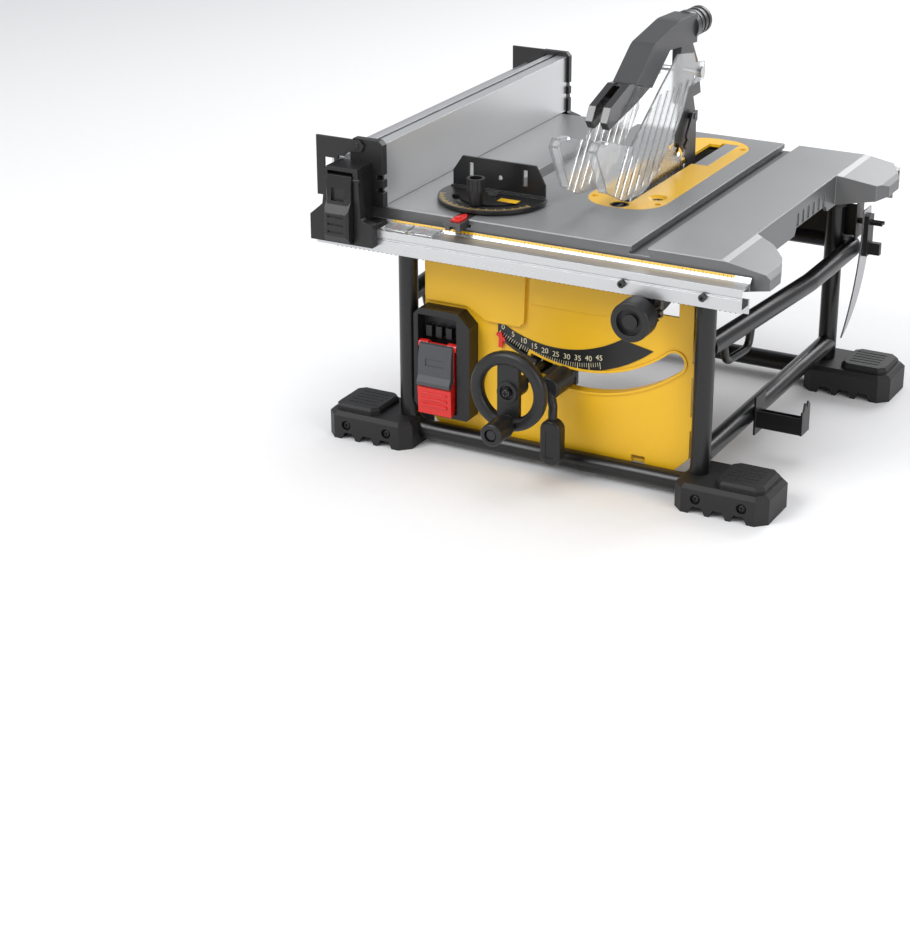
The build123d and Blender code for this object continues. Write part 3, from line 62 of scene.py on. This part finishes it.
WINDOW_SIZE = (0.034, 0.026, 0.003)
WINDOW_Y, WINDOW_Z = -0.262, 0.2945
LIGHTS = (  # name, place, aim, size in metres, power in watts
    ("key_light", (-1.2, -2.4, 2.4), (0, 0, 0.2), 1.6, 62.0),
    ("fill_light", (2.6, -1.2, 1.3), (0, 0, 0.2), 1.6, 26.0),
    ("back_light", (0.4, 2.6, 1.9), (0, 0, 0.25), 1.8, 46.0),
    ("top_light", (0, 0, 3.0), (0, 0, 0), 2.0, 20.0),
)
CAMERA_PLACE = (1.1191, -2.5025, 1.1220)
CAMERA_TURN = (28.713, 23.951, -0.273)  # degrees to the left, down, and about the line of sight
CAMERA_LENS, CAMERA_SENSOR = 85.77, 36.0


# ---------------------------------------------------------------- sizes and colours
class SawSizes(bpy.types.PropertyGroup):
    """Sizes of the pieces added around the saw's fixed parts, in metres."""

    table_top: bpy.props.FloatProperty(
        name="Table top", description="Height of the table surface", default=0.3115, unit="LENGTH",
    )
    pivot_x: bpy.props.FloatProperty(
        name="Tilt pivot", description="Distance of the tilt axis from the middle", default=0.0335,
        unit="LENGTH",
    )
    panel_face: bpy.props.FloatProperty(
        name="Panel face", description="Front of the housing panel", default=-0.207, unit="LENGTH",
    )
    number_radius: bpy.props.FloatProperty(
        name="Number radius", description="Radius of the zero on the bevel scale", default=0.1755,
        unit="LENGTH",
    )
    tick_radius: bpy.props.FloatProperty(
        name="Tick radius", description="Inner radius of the zero tick", default=0.181, unit="LENGTH",
    )
    scale_drop: bpy.props.FloatProperty(
        name="Scale drop", description="How far the scale closes in at its end", default=0.0145,
        unit="LENGTH",
    )
    number_size: bpy.props.FloatProperty(
        name="Number size", description="Height of the bevel numbers", default=0.0095, unit="LENGTH",
    )
    scale_start: bpy.props.FloatProperty(
        name="Scale start", description="Angle of the zero mark", default=math.radians(-36.1),
        subtype="ANGLE",
    )
    scale_sweep: bpy.props.FloatProperty(
        name="Scale sweep", description="Angle from zero to the last mark", default=math.radians(45.3),
        subtype="ANGLE",
    )
    miter_radius: bpy.props.FloatProperty(
        name="Miter radius", description="Radius of the miter head", default=0.068, unit="LENGTH",
    )
    fin_tilt: bpy.props.FloatProperty(
        name="Fin tilt", description="Slope of the rail fin that carries the rip scale",
        default=math.radians(-33.7), subtype="ANGLE",
    )


class SawColours(bpy.types.PropertyGroup):
    """Main colours of the saw."""

    yellow: bpy.props.FloatVectorProperty(
        name="Yellow", description="Housing and throat plate", default=(0.84, 0.48, 0.012),
        subtype="COLOR",
    )
    black: bpy.props.FloatVectorProperty(
        name="Black", description="Tubes and mouldings", default=(0.0065, 0.0065, 0.007),
        subtype="COLOR",
    )
    table: bpy.props.FloatVectorProperty(
        name="Table", description="Table casting", default=(0.30, 0.303, 0.306), subtype="COLOR",
    )
    bright: bpy.props.FloatVectorProperty(
        name="Bright alloy", description="Rails and fence", default=(0.58, 0.585, 0.59), subtype="COLOR",
    )
    red: bpy.props.FloatVectorProperty(
        name="Red", description="Stop paddle and pointers", default=(0.68, 0.018, 0.012),
        subtype="COLOR",
    )


# ---------------------------------------------------------------- shader arithmetic
class Value:
    """A number inside a material's tree that can be added, multiplied and compared like a plain one."""

    def __init__(self, paint, socket):
        self.paint = paint
        self.socket = socket

    def _math(self, operation, *others):
        return self.paint.node("Math", {"operation": operation}, self, *others)

    def __add__(self, other):
        return self._math("ADD", other)

    def __sub__(self, other):
        return self._math("SUBTRACT", other)

    def __mul__(self, other):
        return self._math("MULTIPLY", other)

    def __truediv__(self, other):
        return self._math("DIVIDE", other)

    def __radd__(self, other):
        return self.paint.node("Math", {"operation": "ADD"}, other, self)

    def __rsub__(self, other):
        return self.paint.node("Math", {"operation": "SUBTRACT"}, other, self)

    def __rmul__(self, other):
        return self.paint.node("Math", {"operation": "MULTIPLY"}, other, self)

    def __gt__(self, other):
        return self._math("GREATER_THAN", other)

    def __lt__(self, other):
        return self._math("LESS_THAN", other)

    def wrap(self, step):
        return self._math("MODULO", step)

    def between(self, low, high):
        return (self > low) * (self < high)


class Paint:
    """One procedural finish on a Principled shader."""

    def __init__(self, name, **fixed):
        self.material = bpy.data.materials.new(name)
        self.material.use_nodes = True
        self.tree = self.material.node_tree
        self.shader = next(n for n in self.tree.nodes if n.type == "BSDF_PRINCIPLED")
        for socket, value in fixed.items():
            self.shader.inputs[socket.replace("_", " ")].default_value = value

    def node(self, kind, settings, *inputs, out=0, **named):
        made = self.tree.nodes.new("ShaderNode" + kind)
        for key, value in settings.items():
            setattr(made, key, value)
        for key, value in list(enumerate(inputs)) + [(k.replace("_", " "), v) for k, v in named.items()]:
            if isinstance(value, Value):
                self.tree.links.new(value.socket, made.inputs[key])
            else:
                made.inputs[key].default_value = value
        return Value(self, made.outputs[out])

    def place(self):
        return self.node("TexCoord", {}, out="Object")

    def along(self, axis):
        return self.node("SeparateXYZ", {}, self.place(), out=axis)

    def stretched(self, x, y, z):
        return self.node("VectorMath", {"operation": "MULTIPLY"}, self.place(), (x, y, z))

    def noise(self, where, scale, detail=4.0):
        return self.node("TexNoise", {}, Vector=where, Scale=scale, Detail=detail, Roughness=0.6)

    def cells(self, where, scale):
        return self.node("TexVoronoi", {}, Vector=where, Scale=scale)

    def blend(self, amount, first, second):
        """Mix two colours by a number; the colour sockets of the node are its 7th and 8th."""
        made = self.tree.nodes.new("ShaderNodeMix")
        made.data_type = "RGBA"
        for key, value in ((0, amount), (6, first), (7, second)):
            if isinstance(value, Value):
                self.tree.links.new(value.socket, made.inputs[key])
            else:
                made.inputs[key].default_value = value
        return Value(self, made.outputs[2])

    def drive(self, socket, value):
        self.tree.links.new(value.socket, self.shader.inputs[socket])

    def bump(self, height, strength, distance, corner=0.0):
        """Grain on the surface, over corners rounded by the given radius."""
        bent = self.node("Bump", {}, Strength=strength, Distance=distance, Height=height)
        if corner:
            soft = self.node("Bevel", {"samples": 4}, Radius=corner)
            self.tree.links.new(soft.socket, bent.socket.node.inputs["Normal"])
        self.drive("Normal", bent)

    def edges(self, radius):
        """1 along the corners of a shape, 0 on its flats."""
        soft = self.node("Bevel", {"samples": 4}, Radius=radius)
        plain = self.node("NewGeometry", {}, out=1)
        facing = self.node("VectorMath", {"operation": "DOT_PRODUCT"}, soft, plain, out=1)
        return self.node("MapRange", {}, facing, 0.98, 0.80, 0.0, 1.0)


def paler(colour):
    """The paler colour of a corner's painted highlight."""
    return tuple(min(1.0, c * 1.15 + 0.035) for c in colour[:3]) + (1.0,)


def shade_of(colour, factor):
    return tuple(min(1.0, c * factor) for c in colour[:3]) + (1.0,)


def moulded(name, colour, rough=0.45, grain=900.0, depth=0.00012, mottle=0.10, highlight_amount=0.5, corner=0.0009,
            **fixed):
    """Moulded plastic or powder coat: fine pebble grain, broad uneven gloss and corners made paler by a
    painted highlight.
    """
    paint = Paint(name, **fixed)
    broad = paint.noise(paint.place(), 14.0)
    fine = paint.noise(paint.place(), grain, 2.0)
    # painted highlight: the corners are blended towards a paler colour
    edge_highlight = paint.edges(corner) * highlight_amount * (0.4 + broad)
    skin = paint.blend(broad, shade_of(colour, 1 - mottle), shade_of(colour, 1 + mottle))
    paint.drive("Base Color", paint.blend(edge_highlight, skin, paler(colour)))
    paint.drive("Roughness", rough + (broad - 0.5) * 0.12 + (fine - 0.5) * 0.10 - edge_highlight * 0.12)
    paint.bump(fine, 0.35, depth, corner)
    return paint.material


def metal(name, colour, rough=0.3, brush=(4.0, 700.0, 700.0), depth=0.00003, mottle=0.05, metallic=1.0,
          corner=0.0005, **fixed):
    """Drawn, ground or brushed metal: fine streaks along one direction."""
    paint = Paint(name, Metallic=metallic, **fixed)
    streak = paint.noise(paint.stretched(*brush), 1.0, 5.0)
    broad = paint.noise(paint.place(), 9.0)
    both = streak * 0.6 + broad * 0.4
    paint.drive("Base Color", paint.blend(both, shade_of(colour, 1 - mottle), shade_of(colour, 1 + mottle)))
    paint.drive("Roughness", rough + (streak - 0.5) * 0.16 + (broad - 0.5) * 0.10)
    paint.bump(streak, 0.3, depth, corner)
    return paint.material


def cast(name, colour, rough=0.42, metallic=0.7, deep=0.0, floor_z=-1.0, **fixed):
    """Cast alloy: open grain under lacquer, bright edges that are partly wear and partly a painted highlight
    and, below floor_z, darker unlit floors.
    """
    paint = Paint(name, Metallic=metallic, **fixed)
    fine = paint.noise(paint.place(), 1300.0, 3.0)
    broad = paint.noise(paint.place(), 11.0)
    speck = paint.cells(paint.place(), 620.0)
    # bright edges: partly wear, partly painted highlight
    worn_and_highlit_edge = paint.edges(0.0012)
    skin = paint.blend(broad, shade_of(colour, 0.95), shade_of(colour, 1.06))
    low = (paint.along(2) < floor_z) * deep
    skin = paint.blend(low, skin, shade_of(colour, 0.35))
    # corners blended towards a much brighter colour: painted highlight, partly wear
    paint.drive("Base Color", paint.blend(worn_and_highlit_edge * 0.7, skin, shade_of(colour, 1.7)))
    paint.drive("Roughness", rough + (fine - 0.5) * 0.14 + (broad - 0.5) * 0.08)
    paint.bump(fine * 0.7 + speck * 0.3, 0.25, 0.00006, 0.0012)
    return paint.material


def pointer(name, colour, arm):
    """Painted pointer tip on a black arm."""
    paint = Paint(name)
    broad = paint.noise(paint.place(), 14.0)
    fine = paint.noise(paint.place(), 900.0, 2.0)
    tip = paint.along(0) < -0.066
    painted = paint.blend(broad, shade_of(colour, 0.95), shade_of(colour, 1.05))
    paint.drive("Base Color", paint.blend(tip, tuple(arm) + (1.0,), painted))
    paint.drive("Roughness", 0.3 + (fine - 0.5) * 0.1)
    paint.bump(fine, 0.3, 0.00003, 0.0005)
    return paint.material


def clear(name, tint, rough=0.07):
    """Clear moulded plastic: faint flow marks, and corners that gather a darker, greyer light."""
    paint = Paint(name, Transmission_Weight=0.86, IOR=1.45)
    flow = paint.noise(paint.stretched(20.0, 60.0, 20.0), 1.0, 3.0)
    fine = paint.noise(paint.place(), 240.0, 2.0)
    skin = paint.blend(flow, shade_of(tint, 0.90), shade_of(tint, 1.0))
    paint.drive("Base Color", paint.blend(paint.edges(0.0016), skin, shade_of(tint, 0.30)))
    paint.drive("Roughness", rough + (fine - 0.5) * 0.06)
    paint.bump(flow, 0.25, 0.0006)
    return paint.material


def finishes():
    """Every finish by material slot."""
    c = bpy.context.scene.saw_colours
    black, yellow, red = c.black, c.yellow, c.red
    slot_shade = bpy.context.scene.saw_sizes.table_top - 0.0015  # the miter slots darken below this height
    return {
        "tube_black": moulded("tube_black", black, 0.30, 700.0, 0.00005),
        "foot_rubber": moulded("foot_rubber", shade_of(black, 1.25), 0.55, 1100.0, 0.0002),
        "screw_steel": metal("screw_steel", (0.05, 0.05, 0.05), 0.35, (300.0, 300.0, 300.0)),
        "socket_plastic": moulded("socket_plastic", black, 0.5),
        "table_alloy": cast("table_alloy", c.table, 0.40, 0.55, 0.75, slot_shade),
        "insert_yellow": moulded("insert_yellow", yellow, 0.36, 1100.0, 0.00005, 0.04, Coat_Weight=0.15),
        "lock_plastic": moulded("lock_plastic", black, 0.4),
        "track_steel": moulded("track_steel", (0.05, 0.05, 0.05), 0.5),
        "cradle_steel": moulded("cradle_steel", (0.06, 0.06, 0.063), 0.5),
        "rod_steel": metal("rod_steel", (0.72, 0.72, 0.74), 0.16, (500.0, 500.0, 8.0)),
        "screw_thread": metal("screw_thread", (0.055, 0.055, 0.058), 0.3, (300.0, 300.0, 600.0)),
        "wheel_plastic": moulded("wheel_plastic", shade_of(black, 1.1), 0.42, 1000.0, 0.00012),
        "lever_plastic": moulded("lever_plastic", shade_of(black, 1.1), 0.40, 1000.0, 0.0001),
        "pointer_red": pointer("pointer_red", red, black),
        "carriage_alloy": cast("carriage_alloy", (0.40, 0.41, 0.42), 0.45, 0.8),
        "motor_black": moulded("motor_black", (0.03, 0.03, 0.03), 0.5),
        "armature_copper": metal("armature_copper", (0.45, 0.26, 0.16), 0.35, (6.0, 400.0, 400.0)),
        "arbor_steel": metal("arbor_steel", (0.5, 0.5, 0.51), 0.28, (600.0, 20.0, 20.0)),
        "blade_steel": metal("blade_steel", (0.55, 0.55, 0.56), 0.27, (30.0, 260.0, 260.0)),
        "shroud_plastic": moulded("shroud_plastic", black, 0.55),
        "knife_steel": metal("knife_steel", (0.07, 0.07, 0.074), 0.36, (500.0, 500.0, 8.0), metallic=0.6),
        "pawl_steel": metal("pawl_steel", (0.09, 0.09, 0.095), 0.35, (300.0, 300.0, 300.0)),
        "arm_plastic": moulded("arm_plastic", (0.040, 0.041, 0.043), 0.36, 1200.0, 0.00008),
        "fork_plastic": moulded("fork_plastic", (0.010, 0.010, 0.011), 0.2, 900.0, 0.00003, Coat_Weight=0.4),
        "clear_plastic": clear("clear_plastic", (0.97, 0.985, 0.99)),
        "pin_steel": metal("pin_steel", (0.5, 0.5, 0.5), 0.25, (600.0, 20.0, 20.0)),
        "rail_alloy": metal("rail_alloy", c.bright, 0.30, (3.0, 800.0, 800.0), metallic=0.85),
        "rack_steel": moulded("rack_steel", (0.03, 0.03, 0.03), 0.4, 600.0),
        "slide_plastic": moulded("slide_plastic", (0.05, 0.05, 0.05), 0.5),
        "cross_steel": metal("cross_steel", (0.12, 0.12, 0.12), 0.35, (400.0, 6.0, 400.0)),
        "knob_plastic": moulded("knob_plastic", black, 0.42),
        "fence_alloy": metal("fence_alloy", shade_of(c.bright, 1.05), 0.34, (800.0, 3.0, 800.0),
                             metallic=0.8),
        "cap_plastic": moulded("cap_plastic", black, 0.45),
        "saddle_plastic": moulded("saddle_plastic", black, 0.42),
        "latch_plastic": moulded("latch_plastic", shade_of(black, 1.15), 0.4),
        "support_black": moulded("support_black", black, 0.35, 700.0, 0.00005),
        "support_alloy": metal("support_alloy", c.bright, 0.32, (800.0, 3.0, 800.0), metallic=0.85),
        "panel_yellow": moulded("panel_yellow", yellow, 0.38, 1000.0, 0.00007, 0.035),
        "scale_black": moulded("scale_black", (0.008, 0.008, 0.008), 0.35, 900.0, 0.00002),
        "switch_plastic": moulded("switch_plastic", black, 0.42),
        "button_green": moulded("button_green", (0.02, 0.22, 0.06), 0.3, 900.0, 0.00002),
        "paddle_red": moulded("paddle_red", red, 0.28, 900.0, 0.00003, 0.05, Coat_Weight=0.2),
        "cover_grey": moulded("cover_grey", (0.06, 0.065, 0.07), 0.42),
        "bridge_black": moulded("bridge_black", black, 0.38, 700.0, 0.00005),
        "gland_rubber": moulded("gland_rubber", (0.02, 0.02, 0.02), 0.7),
        "hook_black": moulded("hook_black", black, 0.35, 700.0, 0.00005),
        "clamp_plastic": moulded("clamp_plastic", black, 0.45),
        "spare_steel": metal("spare_steel", (0.42, 0.42, 0.43), 0.34, (400.0, 400.0, 6.0)),
        "bar_steel": metal("bar_steel", (0.10, 0.10, 0.10), 0.35, (400.0, 6.0, 400.0), metallic=0.7),
        "head_black": moulded("head_black", black, 0.34, 800.0, 0.00005),
        "miter_knob_black": moulded("miter_knob_black", black, 0.4),
    }


# ---------------------------------------------------------------- small mesh tools
def start():
    if bpy.context.object and bpy.context.object.mode != "OBJECT":
        bpy.ops.object.mode_set(mode="OBJECT")
    bpy.ops.object.select_all(action="DESELECT")


def soften(obj, width):
    """Round every sharp corner a little."""
    bevel = obj.modifiers.new("soften", "BEVEL")
    bevel.width = width
    bevel.segments = 1
    bpy.ops.object.modifier_apply(modifier=bevel.name)


def flat_bar(name, width, depth, height, matrix, material, body):
    """A small flat bar with softened edges, placed by a matrix."""
    start()
    bpy.ops.mesh.primitive_cube_add(size=1.0)
    bar = bpy.context.object
    bar.name = name
    bar.data.transform(Matrix.Diagonal((width, depth, height, 1.0)))
    soften(bar, min(width, depth, height) * 0.3)
    bar.data.transform(matrix)
    bar.data.materials.append(material)
    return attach(bar, body)


def join(name, pieces, body):
    """Join several small pieces into one."""
    start()
    for piece in pieces:
        piece.parent = None
        piece.select_set(True)
    bpy.context.view_layer.objects.active = pieces[0]
    if len(pieces) > 1:
        bpy.ops.object.join()
    made = bpy.context.object
    made.name = name
    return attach(made, body)


def lettering(name, text, size, matrix, material):
    """A number as a thin mesh lying in its own X-Y plane before the matrix."""
    start()
    bpy.ops.object.text_add()
    words = bpy.context.object
    words.name = name
    words.data.body = text
    words.data.size = size
    words.data.align_x = "CENTER"
    words.data.align_y = "CENTER"
    words.data.extrude = 0.00008
    bpy.ops.object.convert(target="MESH")
    mesh = bpy.context.object
    mesh.data.transform(matrix)
    mesh.data.materials.clear()
    mesh.data.materials.append(material)
    return mesh


# ---------------------------------------------------------------- operators
class SAW_OT_finishes(bpy.types.Operator):
    """Give every fixed part its finish"""

    bl_idname = "saw.finishes"
    bl_label = "Finish the fixed parts"

    def execute(self, context):
        made = finishes()
        slots = {s["node"]: s["material_slot"] for s in frame["record"]["subparts"]}
        for name, obj in frame["nodes"].items():
            obj.data.materials.clear()
            obj.data.materials.append(made[slots[name]])
        return {"FINISHED"}


class SAW_OT_bevel_scale(bpy.types.Operator):
    """Print the bevel scale: ticks and numbers on the curved plate"""

    bl_idname = "saw.bevel_scale"
    bl_label = "Bevel scale"

    def execute(self, context):
        sizes = context.scene.saw_sizes
        ink = moulded("scale_ink", (0.82, 0.76, 0.52), 0.4, 900.0, 0.00001)
        print_face = sizes.panel_face - 0.001 - PRINT_THICKNESS / 2
        pivot = Vector((sizes.pivot_x, print_face, sizes.table_top))
        upright = Matrix.Rotation(math.radians(90), 4, "X")
        pieces = []
        for degree in range(LAST_BEVEL + 1):
            share = degree / LAST_BEVEL
            angle = sizes.scale_start + share * sizes.scale_sweep
            aim = Vector((math.sin(angle), 0, -math.cos(angle)))
            long_mark = degree % 5 == 0
            length = 0.0085 if long_mark else 0.0055
            radius = sizes.tick_radius - share * sizes.scale_drop + length / 2
            place = Matrix.Translation(pivot + aim * radius) @ Matrix.Rotation(-angle, 4, "Y")
            wide = LONG_MARK_WIDTH if long_mark else SHORT_MARK_WIDTH
            pieces.append(flat_bar("tick", wide, PRINT_THICKNESS, length, place, ink, "base"))
            if long_mark:
                radius = sizes.number_radius - share * sizes.scale_drop
                place = Matrix.Translation(pivot + aim * radius) @ upright
                pieces.append(lettering("number", str(degree), sizes.number_size, place, ink))
        join("bevel_scale_print", pieces, "base")
        return {"FINISHED"}


class SAW_OT_rip_scale(bpy.types.Operator):
    """Rip scale tape on the front rail, its marks, and the two clear reading windows"""

    bl_idname = "saw.rip_scale"
    bl_label = "Rip scale"

    def execute(self, context):
        sizes = context.scene.saw_sizes
        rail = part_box("rails")
        tape = moulded("tape_yellow", context.scene.saw_colours.yellow, 0.4, 900.0, 0.00001, 0.04)
        ink = moulded("tape_ink", (0.012, 0.012, 0.012), 0.5, 900.0, 0.00001)
        slope = Matrix.Rotation(sizes.fin_tilt, 4, "X")
        face = Vector(FIN_MIDDLE)
        outward = Vector((0, -math.cos(sizes.fin_tilt), -math.sin(sizes.fin_tilt)))
        first, last = rail[0][0] + 0.09, rail[1][0] - 0.02
        middle = Vector(((first + last) / 2, 0, 0)) + face + outward * TAPE_THICKNESS
        place = Matrix.Translation(middle) @ slope
        flat_bar("rip_tape", last - first, TAPE_THICKNESS, 0.0056, place, tape, "rails")
        marks = []
        for step in range(int((last - first) / RIP_STEP)):
            height = 0.0048 if step % 5 == 0 else 0.0026
            middle = Vector((first + 0.004 + step * RIP_STEP, 0, 0)) + face + outward * 0.00052
            place = Matrix.Translation(middle) @ slope
            marks.append(flat_bar("mark", SHORT_MARK_WIDTH, PRINT_THICKNESS, height, place, ink, "rails"))
        join("rip_marks", marks, "rails")
        window = clear("window_clear", (0.97, 0.98, 0.98), 0.04)
        hair = moulded("hairline_red", context.scene.saw_colours.red, 0.4, 900.0, 0.00001)
        for index, x in enumerate(WINDOW_PLACES):
            place = Matrix.Translation((x, WINDOW_Y, WINDOW_Z))
            flat_bar(f"reading_window_{index}", *WINDOW_SIZE, place, window, "rails")
            place = Matrix.Translation((x, WINDOW_Y, WINDOW_Z + 0.0017))
            flat_bar(f"hairline_{index}", SHORT_MARK_WIDTH, 0.022, PRINT_THICKNESS, place, hair, "rails")
        return {"FINISHED"}


class SAW_OT_miter_scale(bpy.types.Operator):
    """Marks round the rim of the miter head, and its plain yellow plate"""

    bl_idname = "saw.miter_scale"
    bl_label = "Miter scale"

    def execute(self, context):
        sizes = context.scene.saw_sizes
        gold = moulded("miter_gold", (0.80, 0.58, 0.20), 0.35, 900.0, 0.00001)
        plate = moulded("plate_yellow", context.scene.saw_colours.yellow, 0.4, 900.0, 0.00001, 0.04)
        centre = Vector((*MITER_CENTRE, sizes.table_top + MITER_RISE))
        marks = []
        for degree in MITER_MARKS:
            length = 0.0075 if degree % 10 == 0 else 0.0045
            turn = Matrix.Rotation(math.radians(degree), 4, "Z")
            middle = Matrix.Translation((0, -(sizes.miter_radius - 0.0025 - length / 2), 0))
            wide = LONG_MARK_WIDTH if degree % 10 == 0 else SHORT_MARK_WIDTH
            place = Matrix.Translation(centre) @ turn @ middle
            marks.append(flat_bar("mark", wide, length, PRINT_THICKNESS, place, gold, "miter_head"))
        join("miter_marks", marks, "miter_head")
        place = Matrix.Translation(centre + Vector((0.028, -0.014, 0.0001)))
        flat_bar("miter_plate", 0.026, 0.012, 0.0004, place, plate, "miter_head")
        return {"FINISHED"}


class SAW_OT_stage(bpy.types.Operator):
    """Floor, lights, backdrop and camera"""

    bl_idname = "saw.stage"
    bl_label = "Stage"

    def execute(self, context):
        start()
        bpy.ops.mesh.primitive_plane_add(size=12.0, location=(0, 0, 0))
        floor = context.object
        floor.name = "floor"
        paint = Paint("floor_paper", Specular_IOR_Level=0.2)
        grain = paint.noise(paint.place(), 60.0)
        paint.drive("Base Color", paint.blend(grain, (0.86, 0.86, 0.86, 1), (0.89, 0.89, 0.89, 1)))
        paint.drive("Roughness", 0.8 + (grain - 0.5) * 0.1)
        floor.data.materials.append(paint.material)
        for name, place, aim, size, power in LIGHTS:
            bpy.ops.object.light_add(type="AREA", location=place)
            light = context.object
            light.name = name
            light.data.size = size
            light.data.energy = power
            light.rotation_euler = (Vector(aim) - Vector(place)).to_track_quat("-Z", "Y").to_euler()
        world = bpy.data.worlds.new("studio")
        world.use_nodes = True
        world.node_tree.nodes["Background"].inputs["Color"].default_value = (0.95, 0.96, 1.0, 1)
        world.node_tree.nodes["Background"].inputs["Strength"].default_value = 0.55
        context.scene.world = world
        context.scene.view_settings.view_transform = "Standard"
        self.camera(context)
        return {"FINISHED"}

    def camera(self, context):
        yaw, pitch, roll = (math.radians(angle) for angle in CAMERA_TURN)
        reach = math.cos(pitch)
        forward = Vector((-math.sin(yaw) * reach, math.cos(yaw) * reach, -math.sin(pitch)))
        level = Vector((math.cos(yaw), math.sin(yaw), 0))
        rise = level.cross(forward)
        right = math.cos(roll) * level + math.sin(roll) * rise
        up = -math.sin(roll) * level + math.cos(roll) * rise
        turn = Matrix((right, up, -forward)).transposed().to_4x4()
        bpy.ops.object.camera_add()
        camera = context.object
        camera.name = "camera"
        camera.matrix_world = Matrix.Translation(CAMERA_PLACE) @ turn
        camera.data.lens = CAMERA_LENS
        camera.data.sensor_width = CAMERA_SENSOR
        context.scene.camera = camera


class SAW_PT_panel(bpy.types.Panel):
    """Buttons for the saw's pieces"""

    bl_idname = "SAW_PT_panel"
    bl_label = "Table saw"
    bl_space_type = "VIEW_3D"
    bl_region_type = "UI"
    bl_category = "Table saw"

    def draw(self, context):
        for operator in OPERATORS:
            self.layout.operator(operator.bl_idname)


OPERATORS = (SAW_OT_finishes, SAW_OT_bevel_scale, SAW_OT_rip_scale, SAW_OT_miter_scale, SAW_OT_stage)
CLASSES = (SawSizes, SawColours) + OPERATORS + (SAW_PT_panel,)


def register():
    for each in CLASSES:
        bpy.utils.register_class(each)
    bpy.types.Scene.saw_sizes = bpy.props.PointerProperty(type=SawSizes)
    bpy.types.Scene.saw_colours = bpy.props.PointerProperty(type=SawColours)


def unregister():
    del bpy.types.Scene.saw_colours
    del bpy.types.Scene.saw_sizes
    for each in reversed(CLASSES):
        bpy.utils.unregister_class(each)


def main():
    register()
    for operator in OPERATORS:
        group, name = operator.bl_idname.split(".")
        getattr(getattr(bpy.ops, group), name)()


if __name__ == "__main__":
    main()
